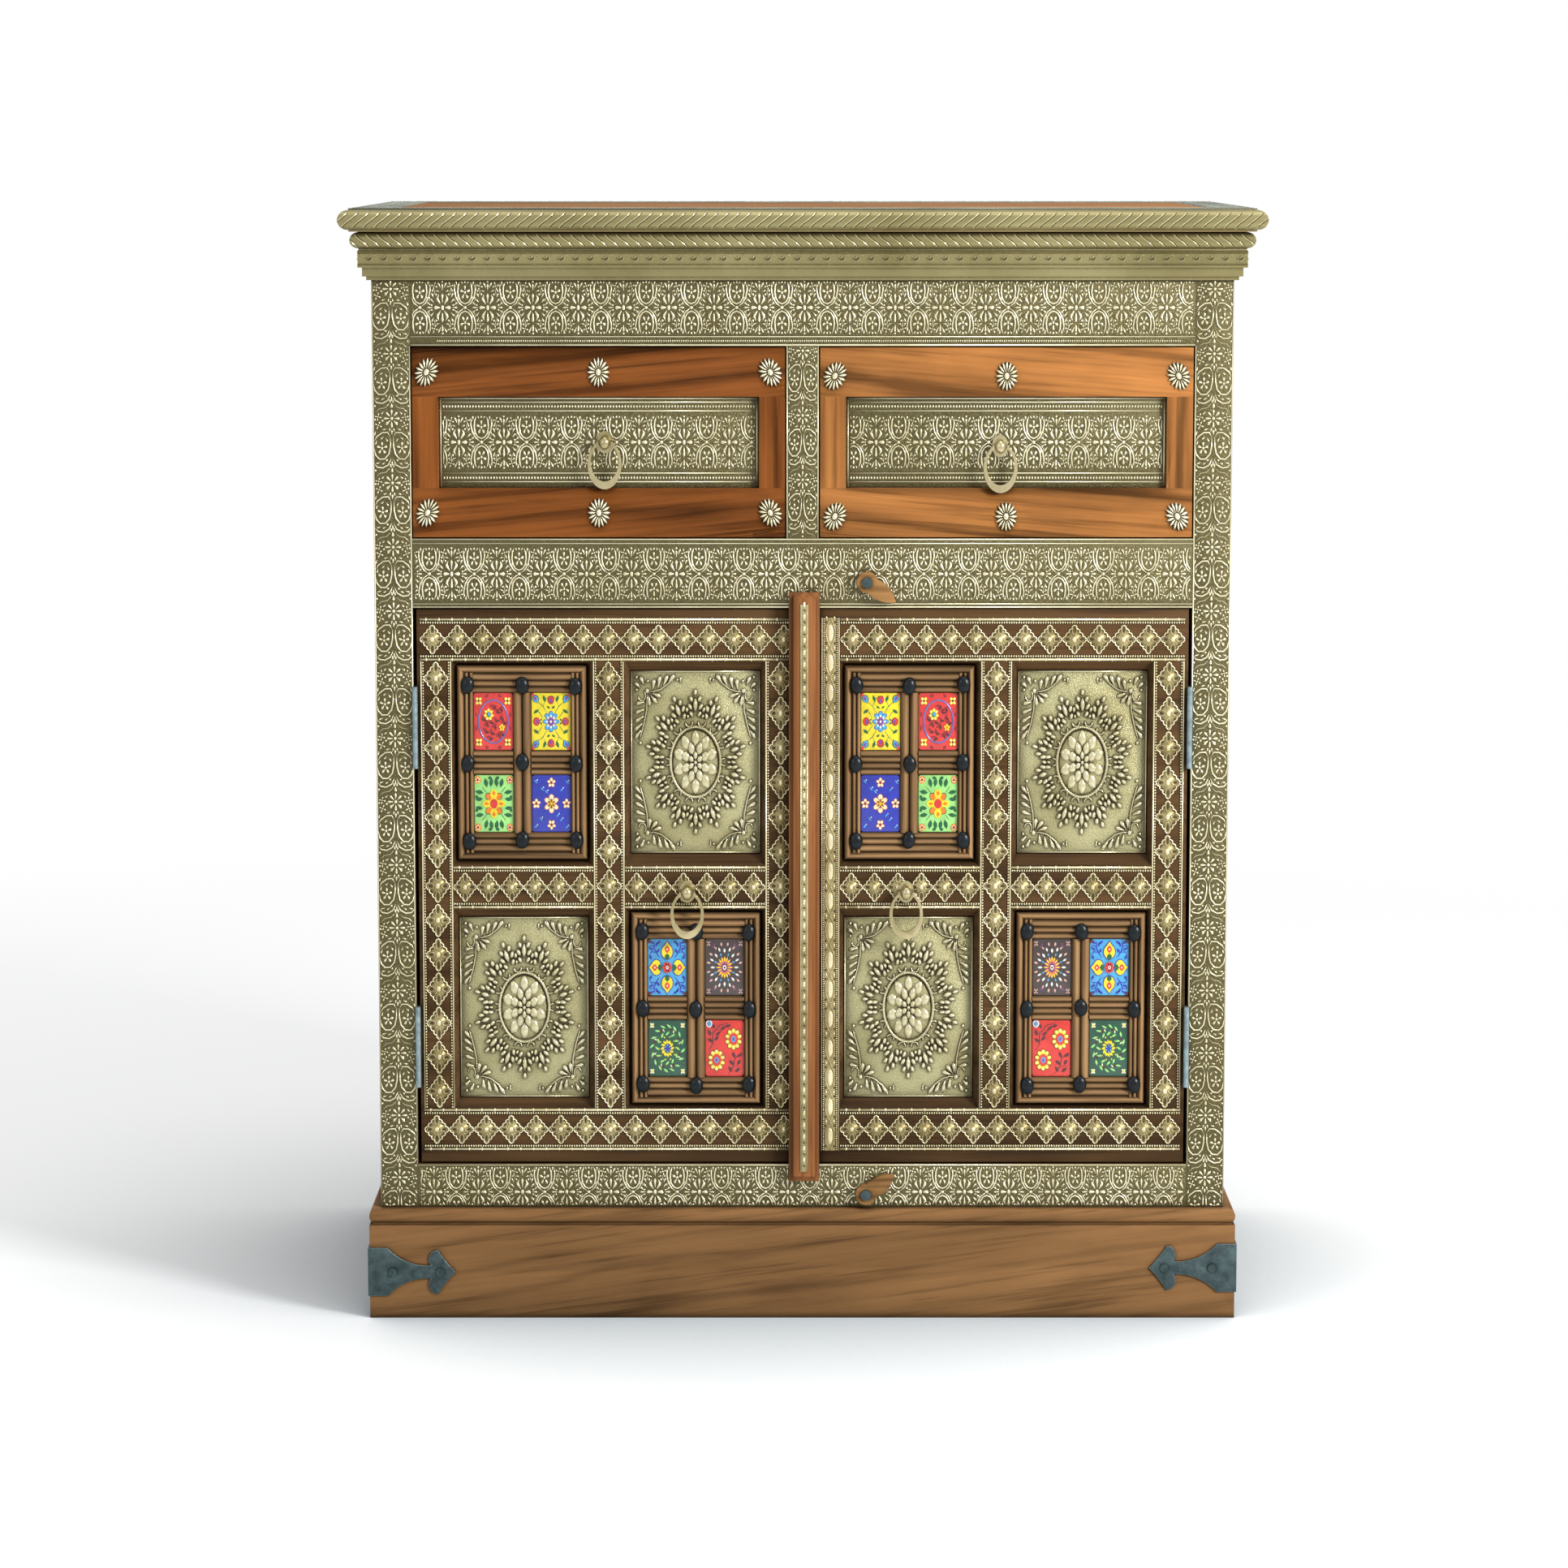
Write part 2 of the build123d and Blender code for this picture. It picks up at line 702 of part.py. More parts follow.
# ---------------------------------------------------------------- doors
panel_edge_inner = door_inner + door_inner_stile
panel_edge_outer = door_outer - door_outer_stile
door_panel_width = (panel_edge_outer - panel_edge_inner - door_muntin) / 2
outer_panel_x = panel_edge_outer - door_panel_width / 2
inner_panel_x = panel_edge_inner + door_panel_width / 2
muntin_x = (outer_panel_x + inner_panel_x) / 2
lower_panel_low_z = door_z[0] + bottom_strip_margin + level_strip
upper_panel_high_z = door_z[1] - top_strip_margin - level_strip
door_mid_rail = level_strip + 2 * mid_strip_margin
both_panels_height = upper_panel_high_z - lower_panel_low_z - door_mid_rail
door_lower_panel_height = (both_panels_height - upper_panel_extra_height) / 2
door_upper_panel_height = door_lower_panel_height + upper_panel_extra_height
lower_panel_z = lower_panel_low_z + door_lower_panel_height / 2
upper_panel_z = upper_panel_high_z - door_upper_panel_height / 2
mid_rail_z = lower_panel_low_z + door_lower_panel_height + door_mid_rail / 2
pocket_floor_y = door_wood_y + door_pocket_depth
door_back_y = front_y + door_thickness
pull_level = mid_rail_z - door_pull_drop
door_pull_offsets = {"left": left_door_pull_offset, "right": right_door_pull_offset}

# Upright strips, each against the panel openings beside it
outer_strip = door_outer_stile - outer_strip_margin
muntin_strip = door_muntin - 2 * muntin_strip_margin
astragal_right = astragal_centre + astragal_width / 2
inner_strip_widths = {
    "left": door_inner_stile - inner_strip_margin,
    "right": panel_edge_inner - astragal_right - astragal_strip_gap,
}

# What fills the pockets
medallion_width = door_panel_width - 2 * medallion_bevel_x
medallion_height = door_lower_panel_height - 2 * medallion_bevel_z
tile_frame_width = door_panel_width - 2 * tile_bevel_x
tile_frame_height = door_lower_panel_height - 2 * tile_bevel_z
tile_width = (tile_frame_width - 2 * tile_side_bar - tile_middle_bar_x) / 2
tile_height = (tile_frame_height - 2 * tile_end_bar - tile_middle_bar_z) / 2
tile_pitch_x = tile_width + tile_middle_bar_x
tile_pitch_z = tile_height + tile_middle_bar_z
stud_spread_x = tile_frame_width / 2 - stud_inset_x
stud_spread_z = tile_frame_height / 2 - stud_inset_z

# Panel kinds by column and row: x distance, height of the middle, opening height, kind
panels_by_door = {
    "left": (
        (outer_panel_x, upper_panel_z, door_upper_panel_height, "tiles"),
        (inner_panel_x, upper_panel_z, door_upper_panel_height, "medallion"),
        (outer_panel_x, lower_panel_z, door_lower_panel_height, "medallion"),
        (inner_panel_x, lower_panel_z, door_lower_panel_height, "tiles"),
    ),
    "right": (
        (inner_panel_x, upper_panel_z, door_upper_panel_height, "tiles"),
        (outer_panel_x, upper_panel_z, door_upper_panel_height, "medallion"),
        (inner_panel_x, lower_panel_z, door_lower_panel_height, "medallion"),
        (outer_panel_x, lower_panel_z, door_lower_panel_height, "tiles"),
    ),
}
pocket_floors = {
    "tiles": (tile_frame_width, tile_frame_height),
    "medallion": (medallion_width, medallion_height),
}


def panel_centres(name, kind):
    """Centres (x, z) of a door's panels of one kind."""
    side = sides[name]
    return tuple((side * x, z) for x, z, _, panel in panels_by_door[name] if panel == kind)


def stud_places(name):
    """Centres of the nine studs of each tile panel of a door."""
    return tuple(
        (x + column * stud_spread_x, z + row * stud_spread_z)
        for x, z in panel_centres(name, "tiles")
        for row in (-1, 0, 1)
        for column in (-1, 0, 1)
    )


def tile_places(name):
    """Centres of the four tiles of each tile panel of a door."""
    return tuple(
        (x + column * tile_pitch_x / 2, z + row * tile_pitch_z / 2)
        for x, z in panel_centres(name, "tiles")
        for row in (-1, 1)
        for column in (-1, 1)
    )


for name, side in sides.items():
    pull_x = side * (inner_panel_x + door_pull_offsets[name])

    with BuildPart() as door_frame:
        board(reach(side, door_inner, door_outer), (door_wood_y, door_back_y), door_z)
        for x, z, opening_height, kind in panels_by_door[name]:
            floor_width, floor_height = pocket_floors[kind]
            with BuildSketch(Plane((side * x, door_wood_y, z), (1, 0, 0), (0, -1, 0))) as mouth:
                Rectangle(door_panel_width, opening_height)
            with BuildSketch(Plane((side * x, pocket_floor_y, z), (1, 0, 0), (0, -1, 0))) as floor:
                Rectangle(floor_width, floor_height)
            loft(sections=[mouth.sketch.face(), floor.sketch.face()], mode=Mode.SUBTRACT)
        shank_hole(pull_x, front_y, pull_level)
    write(door_frame, f"{name}_door_frame")

    # Pierced strips: top and bottom run through, the uprights stand between them
    with BuildPart() as door_strips:
        strip_y = (front_y, door_wood_y)
        outer_strip_x = reach(side, panel_edge_outer, panel_edge_outer + outer_strip)
        inner_strip = inner_strip_widths[name]
        inner_strip_x = reach(side, panel_edge_inner - inner_strip, panel_edge_inner)
        muntin_strip_x = reach(side, muntin_x - muntin_strip / 2, muntin_x + muntin_strip / 2)
        full_x = reach(side, panel_edge_inner - inner_strip, panel_edge_outer + outer_strip)
        low_strip_z = (lower_panel_low_z - level_strip, lower_panel_low_z)
        high_strip_z = (upper_panel_high_z, upper_panel_high_z + level_strip)
        mid_strip_z = (mid_rail_z - level_strip / 2, mid_rail_z + level_strip / 2)
        board(full_x, strip_y, low_strip_z)
        board(full_x, strip_y, high_strip_z)
        for upright_x in (outer_strip_x, muntin_strip_x, inner_strip_x):
            board(upright_x, strip_y, (lower_panel_low_z, upper_panel_high_z))
        board(reach(side, panel_edge_inner, panel_edge_outer), strip_y, mid_strip_z)
        shank_hole(pull_x, front_y, pull_level)
    write(door_strips, f"{name}_door_strips")

    with BuildPart() as medallions:
        with BuildSketch(facing(pocket_floor_y)):
            with Locations(*panel_centres(name, "medallion")):
                Rectangle(medallion_width, medallion_height)
        extrude(amount=sheet_thickness)
        with BuildSketch(facing(pocket_floor_y)):
            with Locations(*panel_centres(name, "medallion")):
                Ellipse(medallion_boss_width / 2, medallion_boss_height / 2)
        extrude(amount=sheet_thickness + medallion_boss_rise)
    write(medallions, f"{name}_door_medallions")

    with BuildPart() as tile_frames:
        with BuildSketch(facing(pocket_floor_y)):
            with Locations(*panel_centres(name, "tiles")):
                Rectangle(tile_frame_width - 2 * tile_gap, tile_frame_height - 2 * tile_gap)
            with Locations(*tile_places(name)):
                Rectangle(tile_width, tile_height, mode=Mode.SUBTRACT)
        extrude(amount=tile_frame_thickness)
    write(tile_frames, f"{name}_door_tile_frames")

    with BuildPart() as tiles:
        with BuildSketch(facing(pocket_floor_y)):
            with Locations(*tile_places(name)):
                Rectangle(tile_width - 2 * tile_gap, tile_height - 2 * tile_gap)
        extrude(amount=tile_thickness)
    write(tiles, f"{name}_door_tiles")

    with BuildPart() as studs:
        stud_y = pocket_floor_y - tile_frame_thickness
        for radius_share, rise in ((1, stud_rim), (stud_dome_share, stud_dome)):
            with BuildSketch(facing(stud_y)):
                with Locations(*stud_places(name)):
                    Ellipse(radius_share * stud_width / 2, radius_share * stud_height / 2)
            extrude(amount=rise)
    write(studs, f"{name}_door_studs")

    write(pull_knob(pull_x, front_y, pull_level), f"{name}_door_knob")
    write(pull_ring(pull_x, front_y - ball_standoff, pull_level), f"{name}_door_ring")

    with BuildPart() as door_leaves:
        door_leaf_x = reach(side, door_outer, door_outer + leaf_thickness)
        for level in hinge_levels:
            bore_radius = hinge_pin_radius + hinge_pin_clearance
            hinge_leaf(side, level, (0,), door_leaf_x, bore_radius)
    write(door_leaves, f"{name}_door_hinge_leaves")

# ---------------------------------------------------------------- astragal
astragal_back_y = face_y - astragal_clearance
astragal_front_y = astragal_back_y - astragal_thickness
astragal_z = (door_low_z - astragal_bottom_overlap, door_high_z + astragal_top_overlap)
astragal_left = astragal_centre - astragal_width / 2

with BuildPart() as astragal:
    board((astragal_left, astragal_right), (astragal_front_y, astragal_back_y), astragal_z)
    end_edges = astragal.faces().sort_by(Axis.Y)[0].edges().filter_by(Axis.X)
    chamfer(end_edges, length=astragal_end_bevel)
    for sign in (-1, 1):
        edge_x = astragal_centre + sign * astragal_width / 2
        step_x = tuple(sorted((edge_x, edge_x - sign * astragal_step)))
        step_y = (astragal_front_y, astragal_front_y + astragal_step_depth)
        board(step_x, step_y, astragal_z, mode=Mode.SUBTRACT)
    foot_z = (door_z[0] + astragal_foot_margin, door_z[1] - astragal_foot_margin)
    board((door_inner, astragal_right), (astragal_back_y, door_wood_y), foot_z)
write(astragal, "astragal")

with BuildPart() as astragal_strip:
    strip_half = astragal_strip_width / 2
    strip_x = (astragal_centre - strip_half, astragal_centre + strip_half)
    strip_z = (astragal_z[0] + astragal_strip_margin, astragal_z[1] - astragal_strip_margin)
    board(strip_x, (astragal_front_y - sheet_thickness, astragal_front_y), strip_z)
write(astragal_strip, "astragal_strip")

# ---------------------------------------------------------------- turn buttons, screws
button_back_y = face_y - running_gap
button_front_y = button_back_y - button_thickness
button_directions = {"upper": -1, "lower": 1}

for (name, direction), (pivot_x, pivot_z) in zip(button_directions.items(), button_places):
    angle = direction * radians(button_rest_angle)
    pivot = (pivot_x, button_back_y, pivot_z)
    with BuildPart() as button:
        with BuildSketch(Plane(pivot, (cos(angle), 0, sin(angle)), (0, -1, 0))):
            Circle(button_head_radius)
            with BuildLine():
                root_x = button_head_radius / 2
                half_leaf = button_leaf_width / 2
                middle = (root_x + button_reach) / 2
                Line((root_x, -half_leaf), (root_x, half_leaf))
                ThreePointArc((root_x, half_leaf), (middle, half_leaf), (button_reach, 0))
                ThreePointArc((root_x, -half_leaf), (middle, -half_leaf), (button_reach, 0))
            make_face()
            Circle(button_screw_radius + button_bore_clearance, mode=Mode.SUBTRACT)
        extrude(amount=button_thickness)
    write(button, f"{name}_turn_button")

with BuildPart() as screws:
    with BuildSketch(facing(button_front_y - running_gap)):
        with Locations(*button_places):
            Circle(button_screw_radius)
    extrude(amount=-(button_screw_depth + button_thickness))
    with BuildSketch(facing(button_front_y - running_gap)):
        with Locations(*button_places):
            Circle(screw_head_radius)
    extrude(amount=screw_head_rise)
    for corner in sides:
        for strap_plane in strap_planes(corner):
            head_plane = strap_plane.offset(strap_thickness)
            holes = [(distance, 0) for distance in strap_hole_distances]
            with BuildSketch(head_plane):
                with Locations(*holes):
                    Circle(strap_screw_head_radius)
            extrude(amount=strap_screw_head_rise)
            with BuildSketch(head_plane):
                with Locations(*holes):
                    Circle(strap_screw_radius)
            extrude(amount=-strap_screw_length)
write(screws, "screws")
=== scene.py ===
"""Looks of a brass-clad carved wood cabinet: embossed sheets, pierced strips, painted tiles and oiled wood."""

import math

import bmesh
import bpy
from bpy.props import FloatProperty, FloatVectorProperty, PointerProperty
from mathutils import Matrix, Vector


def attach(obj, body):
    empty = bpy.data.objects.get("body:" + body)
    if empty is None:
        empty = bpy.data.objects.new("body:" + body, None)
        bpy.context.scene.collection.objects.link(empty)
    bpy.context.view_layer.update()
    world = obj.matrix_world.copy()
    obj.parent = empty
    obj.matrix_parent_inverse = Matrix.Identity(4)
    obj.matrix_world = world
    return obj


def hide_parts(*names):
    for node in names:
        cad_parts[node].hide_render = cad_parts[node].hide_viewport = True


bl_info = {
    "name": "Brass-clad carved cabinet",
    "version": (1, 0, 0),
    "blender": (4, 5, 0),
    "location": "3D View > Sidebar > Cabinet",
    "description": "Builds the visible pieces of a brass-clad carved wood cabinet over its frame",
    "category": "Add Mesh",
}

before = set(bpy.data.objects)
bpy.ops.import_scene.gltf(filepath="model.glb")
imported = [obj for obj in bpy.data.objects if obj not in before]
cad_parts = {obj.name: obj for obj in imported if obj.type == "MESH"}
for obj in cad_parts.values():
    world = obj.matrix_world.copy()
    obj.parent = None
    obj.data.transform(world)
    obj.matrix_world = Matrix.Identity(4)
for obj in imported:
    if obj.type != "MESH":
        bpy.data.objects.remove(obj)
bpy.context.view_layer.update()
MM = 0.001
TURN = 2 * math.pi
SIDES = (("left", -1), ("right", 1))

# Places taken from the frame, in millimetres
HALF_WIDTH = 343.0
FACE_Y = -177.75
FRAME_Y = -176.75
BACK_Y = 202.25
DOOR_WOOD_Y = -175.55
STUD_Y = -174.55
DRAWER_SHEET_Y = -170.95
TILE_Y = -170.6
MEDALLION_Y = -166.55
TILE_FRAME_Y = -165.55
MEETING_STRIP_Y = -190.05
TOP_SHEET_Z = 899.1
TOP_HALF_WIDTH, TOP_FRONT_Y = 359.25, -194.0
SHEET_LOW, SHEET_HIGH = 90.0, 842.5
DRAWER_LOW, DRAWER_HIGH = 636.5, 790.0
DOOR_LOW = 125.5
DRAWER_CENTRE = 162.75
DRAWER_JOINTS = (676.75, 749.75)


# ------------------------------------------------------------------ colours and shared shaders
def srgb(red, green, blue, alpha=1.0):
    """Linear colour from the usual 0 to 255 values."""

    def linear(value):
        value /= 255
        return value / 12.92 if value <= 0.04045 else ((value + 0.055) / 1.055) ** 2.4

    return (linear(red), linear(green), linear(blue), alpha)


class Nodes:
    """Adds shader nodes to a tree and gives back the socket that holds their result."""

    def __init__(self, tree):
        self.tree = tree

    def feed(self, socket, value):
        if isinstance(value, bpy.types.NodeSocket):
            self.tree.links.new(value, socket)
        else:
            socket.default_value = value

    def node(self, kind, *, values=None, **settings):
        made = self.tree.nodes.new("ShaderNode" + kind)
        for key, value in settings.items():
            setattr(made, key, value)
        for key, value in (values or {}).items():
            self.feed(made.inputs[key], value)
        return made

    def place(self, scale=(1, 1, 1), location=(0, 0, 0), rotation=(0, 0, 0)):
        """Object coordinates, stretched and moved."""
        at = self.node("TexCoord").outputs["Object"]
        return self.mapped(at, Scale=scale, Location=location, Rotation=rotation)

    def mapped(self, at, **values):
        return self.node("Mapping", values={"Vector": at, **values}).outputs["Vector"]

    def noise(self, at, scale, detail=3.0, roughness=0.55, distortion=0.0):
        values = {"Vector": at, "Scale": scale, "Detail": detail, "Roughness": roughness, "Distortion": distortion}
        return self.node("TexNoise", values=values).outputs["Fac"]

    def ramp(self, factor, stops):
        made = self.node("ValToRGB", values={"Fac": factor})
        points = made.color_ramp.elements
        while len(points) < len(stops):
            points.new(0.5)
        for point, (position, colour) in zip(points, stops):
            point.position, point.color = position, colour
        return made.outputs["Color"]

    def spread(self, value, low, high, to_low=0.0, to_high=1.0):
        values = {"Value": value, "From Min": low, "From Max": high, "To Min": to_low, "To Max": to_high}
        return self.node("MapRange", values=values).outputs["Result"]

    def math(self, operation, a, b=0.0):
        return self.node("Math", operation=operation, values={0: a, 1: b}).outputs["Value"]

    def mix(self, factor, a, b, blend="MIX"):
        made = self.node("MixRGB", blend_type=blend, values={"Fac": factor, "Color1": a, "Color2": b})
        return made.outputs["Color"]

    def darken(self, colour, level, factor=1.0):
        """Multiply a colour by a grey of the given level."""
        grey = self.node("CombineColor", values={"Red": level, "Green": level, "Blue": level}).outputs["Color"]
        return self.mix(factor, colour, grey, "MULTIPLY")

    def bump(self, height, strength, distance=0.0004):
        values = {"Height": height, "Strength": strength, "Distance": distance}
        return self.node("Bump", values=values).outputs["Normal"]

    def hollow(self, distance, samples=6):
        """1 on open surfaces and less in corners and creases."""
        made = self.node("AmbientOcclusion", samples=samples, values={"Distance": distance})
        return made.outputs["AO"]

    def shows_backdrop(self):
        """1 for the rays that show the white backdrop: those of the camera, of mirrors and of glass."""
        rays = self.node("LightPath").outputs
        shown = rays["Is Camera Ray"]
        for kind in ("Is Glossy Ray", "Is Transmission Ray"):
            both = self.node("Math", operation="ADD", use_clamp=True, values={0: shown, 1: rays[kind]})
            shown = both.outputs["Value"]
        return shown


materials = {}


class Shader(Nodes):
    """A named material, built from its surface back."""

    def __init__(self, name):
        self.material = materials[name] = bpy.data.materials.new(name)
        self.material.use_nodes = True
        super().__init__(self.material.node_tree)
        self.surface = self.tree.nodes["Principled BSDF"]

    def set(self, **values):
        """Set sockets of the surface; spaces in their names are written as underscores."""
        for key, value in values.items():
            self.feed(self.surface.inputs[key.replace("_", " ")], value)


def stretched(along, run, others=1.0):
    """A scale that differs on one axis."""
    return [run if axis == along else others for axis in range(3)]


def wood(
    name, dark, mid, light, grain="X", figure=7.0, contrast=1.0, gloss=0.42, seed=0.0, crease_shade=0.25, relief_shade_depths=None,
    specular=0.07, tilt=0.0, run=0.11,
):
    """Oiled hardwood: flowing figure, dark growth lines, pores along the grain, painted shade in the creases and, where
    crest depths are given, painted shade in the grooves with lighter crests.
    """
    s = Shader(name)
    along = "XYZ".index(grain)
    shift = (seed * 1.37, seed * 0.71, seed * 2.13)
    turn = (tilt, 0, 0) if grain == "Y" else (0, tilt, 0)
    at = s.mapped(s.place(rotation=turn), Scale=stretched(along, run), Location=shift)
    flow = s.noise(at, figure * 2.2, distortion=0.35)
    swirl = s.math("MULTIPLY", s.noise(at, figure, detail=1.0), 9.0)
    rings = s.node(
        "TexWave", wave_type="BANDS", bands_direction="X" if grain == "Z" else "Z", wave_profile="SIN",
        values={
            "Vector": at, "Scale": figure * 1.7, "Distortion": 9.0, "Detail": 3.0, "Detail Scale": 0.9,
            "Phase Offset": swirl,
        },
    ).outputs["Fac"]
    line = s.math("POWER", rings, 6.0)
    fine = s.mapped(s.place(rotation=turn), Scale=stretched(along, 7.0, 260.0), Location=shift)
    fibre = s.noise(fine, 1.0, roughness=0.6)
    patch = s.noise(s.place(scale=stretched(along, 0.35), location=shift), 11.0, detail=4.0, distortion=1.2)
    tone = s.math("ADD", s.math("MULTIPLY", flow, 0.6), s.math("MULTIPLY", patch, 0.55))
    tone = s.math("SUBTRACT", tone, s.math("MULTIPLY", line, 0.17 * contrast))
    tone = s.math("ADD", tone, s.math("MULTIPLY", s.math("SUBTRACT", fibre, 0.5), 0.42 * contrast))
    colour = s.ramp(tone, [(0.28, dark), (0.50, mid), (0.76, light)])
    colour = s.darken(colour, s.spread(fibre, 0.36, 0.44, 0.62, 1.0), 0.55)
    # Painted shade: the colour darkens where the surface lies in a corner or crease.
    colour = s.darken(colour, s.spread(s.hollow(0.006), 0.35, 0.95, crease_shade, 1.0))
    if relief_shade_depths:
        # Painted shade and highlight: the deeper parts of the relief are darker and its crests lighter.
        depth = s.node("SeparateXYZ", values={"Vector": s.node("TexCoord").outputs["Object"]}).outputs["Y"]
        colour = s.darken(colour, s.spread(depth, *relief_shade_depths, 0.30, 1.12))
    s.set(
        Base_Color=colour,
        Roughness=s.spread(fibre, 0.3, 0.7, gloss + 0.12, gloss - 0.06),
        Normal=s.bump(s.math("ADD", fibre, s.math("MULTIPLY", rings, -0.3)), 0.35),
        Specular_IOR_Level=specular,
    )


def brass(
    name, bright, dull, dirt_and_shade, roughness=0.34, stipple=0.0, crease_dirt_and_shade=0.0013, metal=0.6, wear_scale=22.0, cover=0.85,
    pit=0.75, grime_and_shade=0.0,
):
    """Brass sheet with patches of patina, dirt and painted shade in the creases, where wanted a wider painted shade
    near tall relief and recess edges, and where wanted a punched ground.
    """
    s = Shader(name)
    at = s.place()
    patina = s.noise(at, wear_scale, detail=4.0, roughness=0.6)
    fine = s.noise(at, 320.0, detail=2.0)
    colour = s.mix(s.spread(patina, 0.38, 0.66), bright, dull)
    # Dirt and painted shade: the colour turns towards the dark colour in creases and corners.
    grit = s.math("ADD", s.math("MULTIPLY", s.math("SUBTRACT", fine, 0.5), 0.35), s.hollow(crease_dirt_and_shade))
    clean_unshaded_share = s.spread(grit, 0.30, 0.92, 1.0 - cover, 1.0)
    colour = s.mix(clean_unshaded_share, dirt_and_shade, colour)
    if grime_and_shade:
        # Painted shade, with some grime, over a wider reach: darker near tall relief and the edges of a recess.
        colour = s.mix(s.spread(s.hollow(grime_and_shade), 0.62, 0.93), dirt_and_shade, colour)
    height = s.math("MULTIPLY", fine, 0.25)
    if stipple:
        values = {"Vector": at, "Scale": stipple, "Randomness": 0.9}
        cells = s.node("TexVoronoi", feature="F1", values=values).outputs["Distance"]
        height = s.math("ADD", height, s.spread(cells, 0.15, 0.55))
        colour = s.mix(s.spread(cells, 0.2, 0.6, 0.0, pit), colour, dirt_and_shade)
    s.set(
        Base_Color=colour,
        Metallic=metal,
        Roughness=s.spread(clean_unshaded_share, 0.2, 1.0, roughness + 0.22, roughness),
        Normal=s.bump(height, 0.5),
    )


def glaze(name, colour, roughness=0.16):
    """Hand-painted glaze: uneven strength of colour under a clear coat."""
    s = Shader(name)
    at = s.place()
    cloud = s.noise(at, 160.0)
    deep = tuple(channel * 0.62 for channel in colour[:3]) + (1.0,)
    s.set(
        Base_Color=s.mix(s.spread(cloud, 0.35, 0.8, 0.0, 0.8), colour, deep),
        Roughness=s.spread(s.noise(at, 420.0), 0.3, 0.7, roughness, roughness + 0.14),
        Coat_Weight=0.35,
        Coat_Roughness=0.08,
        Normal=s.bump(cloud, 0.25),
    )


def hard(name, colour, other, metal, roughness, mottle=60.0, bumps=0.4, distance=0.0004, specular=0.25):
    """A hard finish with mottled colour, painted shade in its corners and a slightly uneven surface."""
    s = Shader(name)
    at = s.place()
    cloud = s.noise(at, mottle, detail=5.0, roughness=0.65)
    grit = s.noise(at, mottle * 9, detail=2.0)
    mottled = s.mix(s.spread(cloud, 0.35, 0.65), colour, other)
    s.set(
        # Painted shade: the colour darkens in corners and creases.
        Base_Color=s.darken(mottled, s.spread(s.hollow(0.003), 0.3, 0.95, 0.35, 1.0)),
        Metallic=metal,
        Roughness=s.spread(cloud, 0.3, 0.7, roughness, roughness + 0.16),
        Specular_IOR_Level=specular,
        Normal=s.bump(s.math("ADD", cloud, s.math("MULTIPLY", grit, 0.5)), bumps, distance),
    )


# ------------------------------------------------------------------ mesh tools
def plane(origin, across, up):
    """Matrix from pattern millimetres (across, up, out) to the frame, on a plane through origin."""
    across, up = Vector(across), Vector(up)
    turned = Matrix((across, up, across.cross(up))).transposed().to_4x4()
    return Matrix.Translation(Vector(origin) * MM) @ turned @ Matrix.Scale(MM, 4)


def front(y, x=0.0, z=0.0):
    return plane((x, y, z), (1, 0, 0), (0, 0, 1))


def at(u, v, h=0.0, turn=0.0, size=(1, 1, 1)):
    """Matrix that scales, turns in the pattern plane and then moves to (u, v, h)."""
    return Matrix.Translation((u, v, h)) @ Matrix.Rotation(turn, 4, "Z") @ Matrix.Diagonal((*size, 1))


def span(a, b):
    """The range between two places, lower one first."""
    return (min(a, b), max(a, b))


def steps(low, high, pitch):
    """Number and length of the even steps, about pitch long, that fill a range."""
    count = max(1, round((high - low) / pitch))
    return count, (high - low) / count


def middles(low, high, pitch):
    """Middles of the even steps, about pitch long, that fill a range."""
    count, step = steps(low, high, pitch)
    return [low + (i + 0.5) * step for i in range(count)]


def baked(name, bm):
    """A mesh of the finished bm, which is freed."""
    mesh = bpy.data.meshes.new(name)
    bm.to_mesh(mesh)
    bm.free()
    return mesh


shapes = {}


def keep_shape(name, bm):
    """Store a finished small mesh under a name, to be laid many times."""
    bmesh.ops.recalc_face_normals(bm, faces=bm.faces)
    shapes[name] = baked("shape_" + name, bm)


def lay(bm, shape, matrix, material=None):
    """Add a copy of a stored mesh to bm, moved by matrix."""
    source = shapes[shape] if isinstance(shape, str) else shape
    copy = source.copy()
    copy.transform(matrix)
    if matrix.determinant() < 0:
        copy.flip_normals()
    if material is not None:
        copy.polygons.foreach_set("material_index", [material] * len(copy.polygons))
    bm.from_mesh(copy)
    bpy.data.meshes.remove(copy)


def join(bm, part, matrix=Matrix.Identity(4), material=None):
    """Add a mesh or bmesh that is used only once to bm."""
    mesh = baked("part", part) if isinstance(part, bmesh.types.BMesh) else part
    lay(bm, mesh, matrix, material)
    bpy.data.meshes.remove(mesh)


def close(bm):
    """Fill every open edge loop."""
    bmesh.ops.holes_fill(bm, edges=[edge for edge in bm.edges if edge.is_boundary], sides=0)


def cut(bm, place, away, **settings):
    """Keep the side of bm that lies behind a plane."""
    geometry = bm.verts[:] + bm.edges[:] + bm.faces[:]
    bmesh.ops.bisect_plane(bm, geom=geometry, plane_co=place, plane_no=away, **{"clear_outer": True, **settings})


def thicken(bm, faces, vec):
    """Extrude faces along vec into a solid."""
    grown = bmesh.ops.extrude_face_region(bm, geom=faces)["geom"]
    bmesh.ops.translate(bm, vec=vec, verts=[item for item in grown if isinstance(item, bmesh.types.BMVert)])
    bmesh.ops.recalc_face_normals(bm, faces=bm.faces)


def ease(bm, edges, offset, segments=2, **settings):
    bmesh.ops.bevel(
        bm, geom=edges, offset=offset, segments=segments, affect="EDGES", profile=0.5, material=-1, **settings
    )


